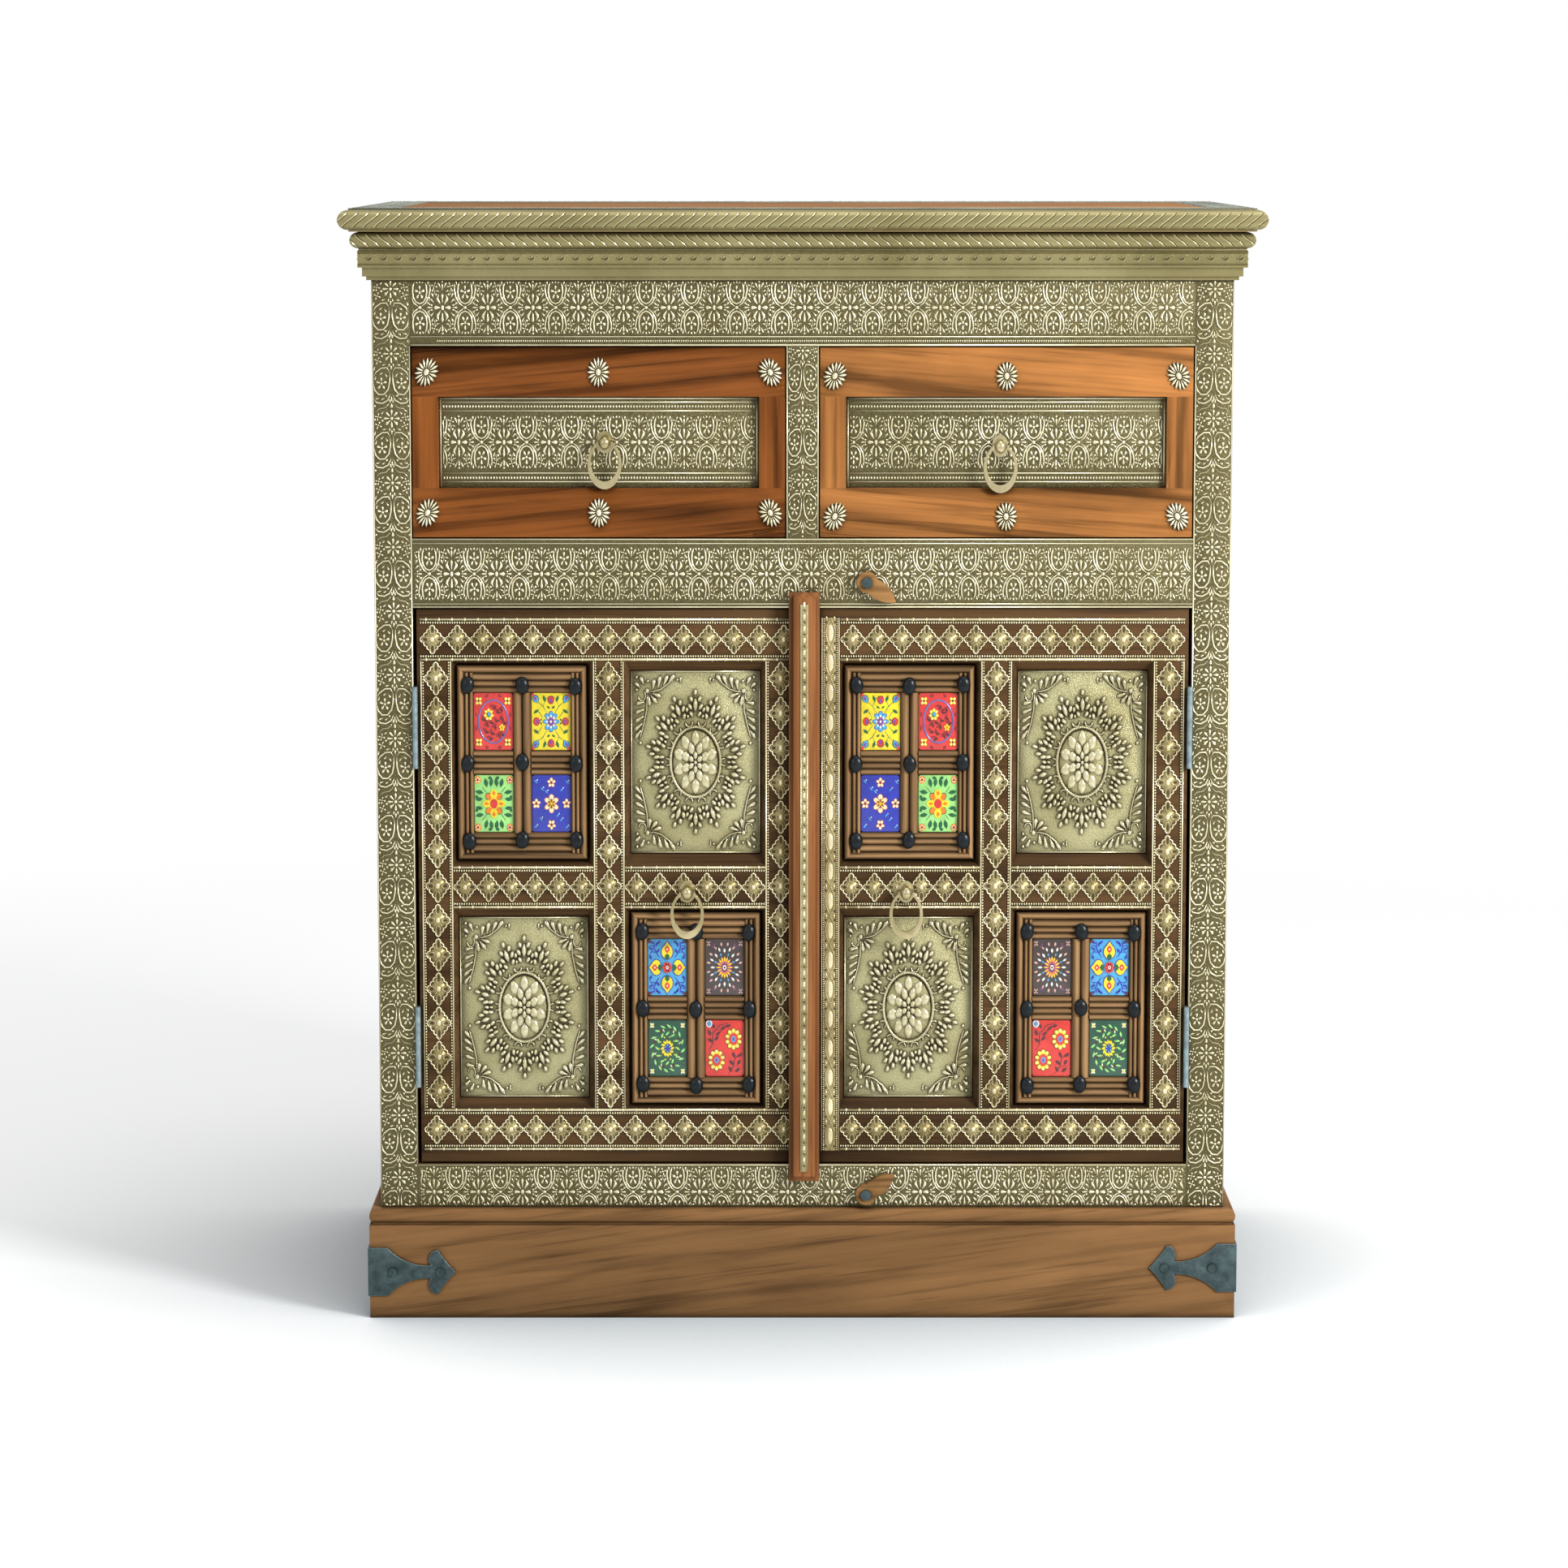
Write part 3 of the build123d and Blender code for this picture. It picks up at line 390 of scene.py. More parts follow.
def dome(segments, rings):
    """Half of a unit sphere standing on its flat face."""
    bm = bmesh.new()
    bmesh.ops.create_uvsphere(bm, u_segments=segments, v_segments=2 * rings, radius=1.0)
    cut(bm, (0, 0, 0), (0, 0, 1), clear_outer=False, clear_inner=True)
    close(bm)
    for face in bm.faces:
        face.smooth = len(face.verts) <= 4
    return bm


def squeezed_dome(name, segments, rings, squeezes):
    """Keep a dome whose verts are scaled where their place along it lies between two limits."""
    bm = dome(segments, rings)
    for low, high, size in squeezes:
        bmesh.ops.scale(bm, vec=size, verts=[vert for vert in bm.verts if low <= vert.co.y <= high])
    keep_shape(name, bm)


SHARP_CREST = [(-1, 0, 0), (0, 0, 1), (1, 0, 0)]
ROUND_CREST = [(-1, 0, 0), (-0.62, 0, 0.8), (0, 0, 1), (0.62, 0, 0.8), (1, 0, 0)]


def line_mesh(points, width, rise, closed=False, taper=0.35, crest=1):
    """Raised line: a section extruded from point to point, narrower at its two ends."""
    bm = bmesh.new()
    count = len(points)
    stations = []
    for index, point in enumerate(points):
        if closed:
            before, after = points[(index - 1) % count], points[(index + 1) % count]
        else:
            before, after = points[max(index - 1, 0)], points[min(index + 1, count - 1)]
        heading = math.atan2(after[1] - before[1], after[0] - before[0]) - math.pi / 2
        size = 1.0 if closed or 0 < index < count - 1 else taper
        stations.append(at(point[0], point[1], 0, heading, (size * width / 2, 1, size * rise)))
    if closed:
        stations.append(stations[0])
    verts = [bm.verts.new(stations[0] @ Vector(corner)) for corner in (SHARP_CREST if crest == 1 else ROUND_CREST)]
    edges = [bm.edges.new((verts[i], verts[(i + 1) % len(verts)])) for i in range(len(verts))]
    if not closed:
        bmesh.ops.contextual_create(bm, geom=verts)
    for here, there in zip(stations, stations[1:]):
        grown = bmesh.ops.extrude_edge_only(bm, edges=edges)["geom"]
        verts = [item for item in grown if isinstance(item, bmesh.types.BMVert)]
        fresh = set(verts)
        edges = [item for item in grown if isinstance(item, bmesh.types.BMEdge) and set(item.verts) <= fresh]
        bmesh.ops.transform(bm, matrix=there @ here.inverted(), verts=verts)
    if closed:
        bmesh.ops.remove_doubles(bm, verts=bm.verts, dist=1e-4)
    else:
        bmesh.ops.contextual_create(bm, geom=verts)
    bmesh.ops.recalc_face_normals(bm, faces=bm.faces)
    for face in bm.faces:
        face.smooth = True
    return baked("line", bm)


def line(bm, points, width, rise, h=0.0, matrix=Matrix.Identity(4), material=None, **settings):
    join(bm, line_mesh(points, width, rise, **settings), matrix @ Matrix.Translation((0, 0, h)), material)


def arc(cu, cv, ru, rv, start, end, count):
    """Points on an ellipse between two angles in degrees."""
    turns = [math.radians(start + (end - start) * i / count) for i in range(count + 1)]
    return [(cu + ru * math.cos(a), cv + rv * math.sin(a)) for a in turns]


def oval(cu, cv, ru, rv, count):
    return arc(cu, cv, ru, rv, 0, 360 * (count - 1) / count, count - 1)


def slab(bm, u_range, v_range, h_range, material=0, edge=0.0):
    """A block between the given ranges, with its front edges eased."""
    block = bmesh.new()
    bmesh.ops.create_cube(block, size=1.0)
    ranges = (u_range, v_range, h_range)
    size = [high - low for low, high in ranges]
    centre = [(high + low) / 2 for low, high in ranges]
    bmesh.ops.transform(block, matrix=at(*centre, 0, size), verts=block.verts)
    if edge:
        ease(block, [e for e in block.edges if all(v.co.z > centre[2] for v in e.verts)], edge)
    join(bm, block, material=material)


def piece(name, bm, body, finish, replaces=(), sharp=98.0, matrix=None):
    """Make the object of a finished mesh, put in place by matrix, and tie it to its body."""
    if matrix:
        bmesh.ops.transform(bm, matrix=matrix, verts=bm.verts)
    mesh = baked(name, bm)
    for material in finish:
        mesh.materials.append(materials[material])
    mesh.set_sharp_from_angle(angle=math.radians(sharp))
    made = bpy.data.objects.new(name, mesh)
    bpy.context.scene.collection.objects.link(made)
    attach(made, body)
    if replaces:
        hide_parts(*replaces)
    return made


def cad_copy(node):
    """A merged copy of a frame node's mesh, with its flat faces whole again."""
    bm = bmesh.new()
    bm.from_mesh(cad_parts[node].data)
    bmesh.ops.remove_doubles(bm, verts=bm.verts, dist=2e-6)
    bmesh.ops.dissolve_limit(
        bm, angle_limit=math.radians(0.5), use_dissolve_boundaries=False, verts=bm.verts, edges=bm.edges,
        delimit={"NORMAL"},
    )
    return bm


HARD_ANGLE = math.radians(28.0)


def dressed(node, name, body, finish, easing=0.6, segments=2, cuts=()):
    """Stands for a frame node with its hard edges eased; cuts are heights where a joint crosses the face."""
    bm = cad_copy(node)
    for height in cuts:
        cut(bm, (0, 0, height * MM), (0, 0, 1), clear_outer=False)
    hard_edges = [edge for edge in bm.edges if edge.is_manifold and edge.calc_face_angle(0.0) > HARD_ANGLE]
    ease(bm, hard_edges, easing * MM, segments, clamp_overlap=True)
    for face in bm.faces:
        face.smooth = True
    return piece(name, bm, body, finish, (node,), sharp=35.0)


# ------------------------------------------------------------------ small ornament shapes
ANY = 9.0  # beyond the tip of any dome


def make_shapes():
    """Build the shapes that the sheets and strips repeat, in millimetres, standing on their plane."""
    for name, segments, rings in (
        ("bead", 6, 2), ("bud", 6, 2), ("round_bud", 10, 3), ("boss", 16, 4), ("ball", 24, 7),
    ):
        keep_shape(name, dome(segments, rings))
    squeezed_dome("leaf", 6, 2, ((-ANY, -0.3, (0.45, 1, 0.8)), (0.6, ANY, (0.8, 1, 1))))
    squeezed_dome("spear", 10, 3, ((-ANY, -0.5, (0.5, 1, 0.8)), (0.6, ANY, (0.75, 1, 1))))
    squeezed_dome(
        "petal", 12, 3,
        ((0.4, ANY, (0.62, 1, 1)), (0.9, ANY, (0.3, 1.05, 0.9)), (-ANY, -0.8, (0.7, 1.08, 0.9))),
    )

    for name, count, width, inner, heart in (
        ("flower_8", 8, 0.165, 0.24, 0.20),
        ("flower_5", 5, 0.26, 0.22, 0.24),
        ("flower_4", 4, 0.24, 0.16, 0.20),
    ):
        bm = bmesh.new()
        for k in range(count):
            a = TURN * k / count + math.pi / 2
            r = (inner + 1.0) / 2
            lay(bm, "leaf", at(r * math.cos(a), r * math.sin(a), 0, a - math.pi / 2, (width, (1.0 - inner) / 2, 1)))
        lay(bm, "bud", at(0, 0, 0, 0, (heart, heart, 1.15)))
        keep_shape(name, bm)

    make_sheet_unit()
    make_stile_unit()
    make_diamond()
    make_scroll()


def between(bm, start, end, width, rise):
    """A leaf lying from one point to another."""
    du, dv = end[0] - start[0], end[1] - start[1]
    middle = ((start[0] + end[0]) / 2, (start[1] + end[1]) / 2)
    lay(bm, "leaf", at(*middle, 0, math.atan2(dv, du) - math.pi / 2, (width, math.hypot(du, dv) / 2, rise)))


def leaves(bm, rows, side=1, way=1, u=0.0):
    """Leaves from rows of (start, end, width, rise), mirrored by side and way and moved along by u."""
    for start, end, width, rise in rows:
        between(bm, (u + side * start[0], way * start[1]), (u + side * end[0], way * end[1]), width, rise)


def curve(bm, points, width, rise, side=1, way=1, u=0.0, **settings):
    """A raised line, mirrored by side and way and moved along by u."""
    line(bm, [(u + side * a, way * b) for a, b in points], width, rise, **settings)


# Leaves of the sheet unit, as (start, end, width, rise)
UNIT_LEAVES = (
    ((1.0, 15.0), (3.6, 20.4), 0.8, 0.5), ((2.2, 12.4), (5.2, 13.6), 0.7, 0.5), ((6.9, 7.6), (8.8, 11.8), 0.8, 0.5),
    ((6.6, 3.6), (9.6, 7.2), 0.8, 0.5), ((9.2, 1.6), (12.2, 4.4), 0.8, 0.5), ((9.4, 14.0), (10.2, 18.8), 0.75, 0.5),
)
UNIT_INNER_LEAVES = (((2.6, 10.8), (4.2, 6.4), 0.8, 0.5), ((12.6, 3.8), (12.0, 9.4), 0.75, 0.5))
UNIT_CUP_LEAVES = (((6.4, 17.2), (6.9, 20.8), 0.7, 0.5), ((1.6, 18.6), (3.0, 20.9), 0.7, 0.5))
UNIT_CUP = ((-4.0, 20.9), (-5.3, 17.0), (-5.7, 12.0), (-4.9, 7.4), (-3.0, 4.2), (0, 2.9))
UNIT_CUP_OUTER = ((8.4, 19.6), (8.3, 13.5), (7.2, 8.0), (4.6, 3.4), (0.6, 0.3))
UNIT_CURL = ((9.6, 9.2), (11.6, 10.6), (12.0, 13.4), (10.6, 14.6), (9.4, 13.0))


def make_sheet_unit():
    """One repeat of the embossed sheet: 36 across, 43 high, a flower in the middle and two cupped flowers beside."""
    bm = bmesh.new()
    lay(bm, "flower_8", at(0, 0, 0, 0, (6.9, 12.0, 0.9)))
    for side in (-1, 1):
        for v in (-1, 1):
            lay(bm, "flower_4", at(side * 6.4, v * 17.0, 0, 0.3 * side, (2.8, 3.6, 0.55)))
            leaves(bm, UNIT_LEAVES, side, v)
            lay(bm, "bud", at(side * 4.9, v * 10.4, 0, 0, (0.8, 1.0, 0.45)))
            lay(bm, "bud", at(side * 11.2, v * 20.0, 0, 0, (0.8, 0.9, 0.45)))
            curve(bm, [(10.6, 10.6), (10.0, 5.8), (13.0, 1.4)], 0.75, 0.5, side, v)
        between(bm, (side * 7.4, 0), (side * 12.4, 0), 0.95, 0.6)
        for v in (-1, 1):
            leaves(bm, UNIT_INNER_LEAVES, side, v)
            lay(bm, "bud", at(side * 8.6, v * 1.9, 0, 0, (0.75, 0.8, 0.4)))
            lay(bm, "bud", at(side * 7.9, v * 13.2, 0, 0, (0.75, 0.9, 0.4)))
    beside = UNIT_PITCH / 2
    for v in (-1, 1):
        turn = 0 if v > 0 else math.pi
        lay(bm, "leaf", at(0, v * 16.2, 0, turn, (0.9, 3.3, 0.6)))
        lay(bm, "bud", at(0, v * 20.6, 0, 0, (0.9, 0.9, 0.5)))
        lay(bm, "flower_5", at(beside, v * 11.9, 0, turn, (4.1, 6.0, 0.75)))
        cup = [*UNIT_CUP, *((-u, h) for u, h in reversed(UNIT_CUP[:-1]))]
        curve(bm, cup, 1.35, 0.85, way=v, u=beside, crest=2)
        for side in (-1, 1):
            curve(bm, UNIT_CUP_OUTER, 1.3, 0.85, side, v, beside, crest=2)
            curve(bm, UNIT_CURL, 0.8, 0.55, side, v, beside)
            leaves(bm, UNIT_CUP_LEAVES, side, v, beside)
        lay(bm, "bud", at(beside, v * 20.2, 0, 0, (0.8, 1.0, 0.5)))
    lay(bm, "bud", at(beside, 0, 0, 0, (1.5, 1.5, 0.9)))
    keep_shape("unit", bm)


# Lines of the stile unit, as (points, width, rise, crest), and its paired leaves, as (start, end)
STILE_LINES = (
    (((1.2, 11.0), (1.3, 3.5), (2.6, -2.6), (6.0, -6.6), (10.4, -6.8), (13.6, -3.4), (14.6, 1.8)), 1.35, 0.85, 2),
    (((0.8, -6.4), (3.2, -11.4), (7.6, -13.8), (12.2, -13.2), (14.7, -10.2)), 1.3, 0.85, 2),
    (((2.0, -14.0), (5.2, -17.2), (9.8, -18.0), (13.6, -21.4)), 0.85, 0.55, 1),
    (((1.3, 11.0), (3.4, 14.6), (8.0, 14.4), (12.4, 11.2), (14.6, 7.2)), 1.2, 0.8, 2),
)
STILE_LEAVES = (
    ((9.6, -9.4), (13.4, -10.4)), ((5.6, -9.4), (8.4, -11.0)), ((4.2, 17.6), (7.6, 16.4)), ((6.8, 11.0), (9.4, 9.0)),
    ((12.4, 8.4), (13.6, 4.8)), ((5.2, 10.2), (3.4, 7.2)), ((13.2, 15.8), (14.4, 12.2)), ((6.4, -20.4), (8.8, -22.4)),
    ((1.8, -9.6), (1.0, -13.4)), ((2.2, 14.8), (1.4, 18.2)),
)
STILE_INNER_LEAVES = (
    ((0, -7.4), (0, -12.2), 0.9, 0.6), ((0, -13.2), (0, -17.4), 1.3, 0.65), ((0, 12.4), (0, 16.8), 1.0, 0.6),
)
STILE_BUDS = ((4.0, 22.4), (7.6, 24.0), (13.8, -15.8), (4.4, -7.6), (13.8, 24.8))


def make_stile_unit():
    """One repeat of the stiles: 31 across, 51.5 high, a pair of cupped flowers and a star flower above."""
    bm = bmesh.new()
    for side in (-1, 1):
        lay(bm, "flower_5", at(side * 8.2, 2.0, 0, 0, (4.6, 5.2, 0.75)))
        for points, width, rise, crest in STILE_LINES:
            curve(bm, points, width, rise, side, crest=crest)
        lay(bm, "flower_4", at(side * 11.0, 20.2, 0, 0.4 * side, (3.2, 3.4, 0.6)))
        lay(bm, "flower_4", at(side * 11.2, -24.6, 0, 0.2 * side, (3.0, 3.2, 0.6)))
        leaves(bm, [(*ends, 0.8, 0.5) for ends in STILE_LEAVES], side)
        for u, v in STILE_BUDS:
            lay(bm, "bud", at(side * u, v, 0, 0, (0.9, 0.9, 0.5)))
    lay(bm, "flower_8", at(0, UPRIGHT_PITCH / 2, 0, 0, (7.0, 7.6, 0.85)))
    leaves(bm, STILE_INNER_LEAVES)
    keep_shape("stile_unit", bm)


def make_diamond():
    """One pierced lozenge, 9.2 by 13.8 from its middle: scalloped edge, four petal loops and a raised boss."""
    bm = bmesh.new()
    half_u, half_v = 9.3, 13.9
    plate = bmesh.new()
    bmesh.ops.create_circle(plate, cap_ends=True, segments=4, radius=1.0)
    bmesh.ops.scale(plate, vec=(half_u - 0.9, half_v - 1.3, 1), verts=plate.verts)
    thicken(plate, plate.faces[:], (0, 0, 0.22))
    join(bm, plate, material=1)
    edge = []
    for i in range(4):
        for t, out in ((0.0, -0.75), (0.3, 0.25), (0.7, 0.25)):
            along = (i + t) / 4
            edge.append((half_u * along + out * 0.83, half_v * (1 - along) + out * 0.55))
    edge.append((half_u - 0.2, 0.0))
    for side in (-1, 1):
        for way in (-1, 1):
            curve(bm, edge, 1.35, 1.0, side, way, taper=1.0, crest=2)
    for way in (-1, 1):
        # The loops and the spots between them are filled with patches of wood in painted shade.
        for u, v, ru, rv in ((way * 5.2, 0, 2.55, 2.2), (0, way * 8.3, 1.75, 4.1)):
            line(bm, oval(u, v, ru, rv, 10), 1.2, 1.0, closed=True)
            lay(bm, "bud", at(u, v, 0.1, 0, (ru - 0.75, rv - 0.75, 0.2)), 2)
        for side in (-1, 1):
            curve(bm, [(1.5, 2.6), (2.9, 5.0), (3.0, 7.8)], 0.85, 0.75, side, way)
            lay(bm, "bud", at(side * 4.3, way * 4.9, 0.1, 0.7 * side * way, (0.75, 1.3, 0.2)), 2)
    lay(bm, "boss", at(0, 0, 0, 0, (1.8, 2.6, 1.3)))
    keep_shape("diamond", bm)


def make_scroll():
    """One scroll of the cornice band, 11.7 long and 9 high: lips lightened as a painted highlight round a crescent of
    painted shadow.
    """
    bm = bmesh.new()
    line(bm, arc(0, 1.8, 3.0, 3.4, 200, 352, 8), 1.0, 0.9, material=2)
    # A low crescent of painted shadow under the curl.
    line(bm, arc(-0.4, 2.6, 2.6, 3.0, 205, 340, 7), 0.8, 0.22, h=0.02, material=1)
    line(bm, arc(4.3, 1.8, 1.5, 1.6, 170, 20, 6), 0.75, 0.6, material=2)
    lay(bm, "bud", at(0.2, 1.6, 0, 0, (0.9, 1.1, 0.7)))
    keep_shape("scroll", bm)


# ------------------------------------------------------------------ embossed sheets
GROUND = 0.3  # thickness of a sheet's flat
UNIT_PITCH = 36.0
UNIT_HEIGHT = 43.0
UPRIGHT_PITCH = 51.5
UPRIGHT_WIDTH = 31.0
SHEET_FINISH = ("raised brass", "punched brass")


def clip(bm, u_range, v_range):
    """Cut away what stands outside a rectangle and close the cuts."""
    sides = (
        ((u_range[0], 0, 0), (-1, 0, 0)),
        ((u_range[1], 0, 0), (1, 0, 0)),
        ((0, v_range[0], 0), (0, -1, 0)),
        ((0, v_range[1], 0), (0, 1, 0)),
    )
    for place, away in sides:
        cut(bm, place, away, dist=1e-5)
        close(bm)


def repeats(low, high, first, pitch):
    """Places at an even pitch that cover a range with one to spare on each side; one of them is first."""
    k = math.floor((low - first) / pitch) - 1
    while first + k * pitch < high + pitch:
        yield k * pitch
        k += 1


def level_units(bm, u_range, v, first, size=(1.0, 1.0), pitch=UNIT_PITCH):
    """Sheet units side by side from u_range's start to its end, with a flower at first."""
    for move in repeats(*u_range, first, pitch):
        lay(bm, "unit", at(first + move, v, 0, 0, (size[0] * pitch / UNIT_PITCH, size[1], 1)))


def upright_units(bm, u, v_range, first, across, pitch=UPRIGHT_PITCH):
    """Stile units one above another, with a star flower at first."""
    for move in repeats(*v_range, first, pitch):
        lay(bm, "stile_unit", at(u, first - UPRIGHT_PITCH / 2 + move, 0, 0, (across, pitch / UPRIGHT_PITCH, 1)))


def bead_row(bm, u_range, v, pitch, size):
    """Beads at an even pitch along a level line, one at each end."""
    count, step = steps(*u_range, pitch)
    for i in range(count + 1):
        lay(bm, "bead", at(u_range[0] + i * step, v, 0.0, 0, size))


def rim(bm, start, end, width=1.3, rise=0.45):
    """Straight folded line between two points."""
    line(bm, [start, end], width, rise, taper=1.0, crest=2)


def level_rims(bm, u_range, rows):
    """Folded lines along a range, from rows of (height, width, rise)."""
    for v, width, rise in rows:
        rim(bm, (u_range[0], v), (u_range[1], v), width, rise)


def edge_rims(bm, u_range, v_range, upright, insets, width, rise=0.5):
    """Folded lines along both long edges of a strip, set in from them."""
    low, high = u_range if upright else v_range
    for inset in insets:
        for edge in (low + inset, high - inset):
            ends = [(edge, v) for v in v_range] if upright else [(u, edge) for u in u_range]
            rim(bm, *ends, width, rise)


def sheet_ground(bm, u_range, v_range, thickness=GROUND):
    """The flat of a sheet, in the second finish of its piece."""
    slab(bm, u_range, v_range, (-thickness, 0.0), material=1, edge=0.12)


def make_face_sheets():
    """The embossed cladding of the face frame, one piece a rail or stile."""
    inner, outer = 312.5, HALF_WIDTH
    whole = (-inner, inner)
    place = front(FRAME_Y - GROUND)

    def done(name, bm, u_range, v_range):
        sheet_ground(bm, u_range, v_range)
        piece(name, bm, "cabinet", SHEET_FINISH, ("face_sheets",), matrix=place)

    for name, side in SIDES:
        bm = bmesh.new()
        u_range = span(side * inner, side * outer)
        upright_units(bm, side * (inner + outer) / 2, (SHEET_LOW, SHEET_HIGH), 784.0, 0.97)
        clip(bm, (u_range[0] + 0.4, u_range[1] - 0.4), (SHEET_LOW + 1.2, SHEET_HIGH))
        rim(bm, (side * (inner + 0.7), DOOR_LOW), (side * (inner + 0.7), DRAWER_HIGH), 1.2, 0.5)
        rim(bm, (side * (outer - 0.6), SHEET_LOW), (side * (outer - 0.6), SHEET_HIGH), 1.0, 0.4)
        done(f"{name}_stile_cladding", bm, u_range, (SHEET_LOW, SHEET_HIGH))

    # name, height of the units' middle, place of a flower, clipped range, folded lines, whole range
    for name, v, first, clipped, rims, v_range in (
        ("top", 820.8, -286.5, (798.6, 842.0), ((797.6, 1.0, 0.45), (791.0, 1.6, 0.6)), (DRAWER_HIGH, SHEET_HIGH)),
        (
            "mid", 608.0, -281.0, (584.5, 631.6),
            ((635.7, 1.2, 0.5), (632.4, 0.9, 0.35), (581.3, 1.4, 0.5), (583.8, 0.9, 0.35)), (580.5, DRAWER_LOW),
        ),
        ("bottom", 102.4, -299.8, (91.5, 124.0), ((124.8, 1.2, 0.5),), (SHEET_LOW, DOOR_LOW)),
    ):
        bm = bmesh.new()
        level_units(bm, whole, v, first)
        clip(bm, (-inner + 2, inner - 2), clipped)
        level_rims(bm, whole, rims)
        if name == "top":
            bead_row(bm, (-inner + 22, inner - 12), 794.3, 1.75, (0.62, 0.95, 0.6))
        done(f"{name}_rail_cladding", bm, whole, v_range)

    bm = bmesh.new()
    v_range = (DRAWER_LOW, DRAWER_HIGH)
    upright_units(bm, 0, v_range, 735.0, 0.79)
    clip(bm, (-11.6, 11.6), (DRAWER_LOW + 1.0, DRAWER_HIGH - 0.5))
    for side in (-1, 1):
        rim(bm, (side * 12.3, DRAWER_LOW), (side * 12.3, DRAWER_HIGH), 1.1, 0.5)
    done("divider_cladding", bm, (-13.0, 13.0), v_range)


def make_side_sheets():
    """The cladding carried round the frame of each side."""
    window_y, window_z = (-93.75, 140.25), (152.0, 780.5)
    for name, side in SIDES:
        bm = bmesh.new()
        for y_range, v_range, upright in (
            ((FRAME_Y, window_y[0]), (SHEET_LOW, SHEET_HIGH), True),
            ((window_y[1], BACK_Y), (SHEET_LOW, SHEET_HIGH), True),
            (window_y, (window_z[1], SHEET_HIGH), False),
            (window_y, (SHEET_LOW, window_z[0]), False),
        ):
            u_range = span(side * y_range[0], side * y_range[1])
            field = bmesh.new()
            if upright:
                u_inner = (u_range[0] + 4.5, u_range[1] - 4.5)
                column = steps(*u_inner, 36)[1]
                for u in middles(*u_inner, 36):
                    upright_units(field, u, v_range, 784.0, column / UPRIGHT_WIDTH, 55.0)
            else:
                height = (v_range[1] - v_range[0] - 9) / UNIT_HEIGHT
                u, v = sum(u_range) / 2, sum(v_range) / 2
                level_units(field, u_range, v, u, (1.0, height), UPRIGHT_PITCH)
            edge_u, low, high = (3.6, 1.2, 0.0) if upright else (0.0, 3.6, 3.6)
            clip(field, (u_range[0] + edge_u, u_range[1] - edge_u), (v_range[0] + low, v_range[1] - high))
            edge_rims(field, u_range, v_range, upright, (1.2, 3.4), 1.2)
            sheet_ground(field, u_range, v_range)
            join(bm, field)
        place = plane((side * (HALF_WIDTH - 1.0 + GROUND), 0, 0), (0, side, 0), (0, 0, 1))
        piece(f"{name}_side_cladding", bm, "cabinet", SHEET_FINISH, ("side_sheets",), matrix=place)


def make_top_border():
    """The embossed border round the top board."""
    right, near, far, width = TOP_HALF_WIDTH, TOP_FRONT_Y, BACK_Y, 35.0
    left = -right
    bm = bmesh.new()
    for u_range, v_range, upright in (
        ((left, right), (near, near + width), False),
        ((left, right), (far - width, far), False),
        ((left, left + width), (near + width, far - width), True),
        ((right - width, right), (near + width, far - width), True),
    ):
        field = bmesh.new()
        u, v = sum(u_range) / 2, sum(v_range) / 2
        if upright:
            upright_units(field, u, v_range, v, 0.95)
        else:
            level_units(field, u_range, v, 0.0, (1.0, 0.66), 38.5)
        clip(field, (u_range[0] + 2.6, u_range[1] - 2.6), (v_range[0] + 2.6, v_range[1] - 2.6))
        edge_rims(field, u_range, v_range, upright, (1.2,), 1.3)
        sheet_ground(field, u_range, v_range, 0.1)
        join(bm, field, Matrix.Diagonal((1, 1, 0.85, 1)))
    place = plane((0, 0, TOP_SHEET_Z), (1, 0, 0), (0, 1, 0))
    finish = ("top brass", "top brass")
    piece("top_border_cladding", bm, "cabinet", finish, ("top_border_sheet",), matrix=place)


def make_drawer_sheets():
    """The embossed panel of each drawer, with beads and folds above and below."""
    rims = ((688.4, 1.1, 0.5), (681.4, 1.3, 0.6), (738.2, 1.1, 0.5), (745.2, 1.3, 0.6), (748.3, 1.8, 0.8))
    for name, side in SIDES:
        bm = bmesh.new()
        level_units(bm, (-128.0, 128.0), 713.2, 4.0 * side)
        clip(bm, (-124.5, 124.5), (691.6, 734.8))
        for v in (684.6, 741.8):
            bead_row(bm, (-124, 124), v, 2.35, (0.85, 1.25, 0.7))
        level_rims(bm, (-127.5, 127.5), rims)
        for u in (-126.4, 126.4):
            rim(bm, (u, 677), (u, 749.5), 1.2, 0.5)
        sheet_ground(bm, (-128.0, 128.0), DRAWER_JOINTS, 0.2)
        piece(
            f"{name}_drawer_embossed_panel", bm, f"{name}_drawer", SHEET_FINISH, (f"{name}_drawer_sheet",),
            matrix=front(DRAWER_SHEET_Y, x=side * DRAWER_CENTRE),
        )


# ------------------------------------------------------------------ cornice
ROPE_SIDES = 28
LINE_STEPS = 10


def moulding_run(section, start, end):
    """Extrude a closed outline of (out, up) points from start to end along a run, in its own bmesh."""
    bm = bmesh.new()
    verts = [bm.verts.new((start, out, up)) for out, up in section]
    thicken(bm, [bm.faces.new(verts)], (end - start, 0, 0))
    return bm


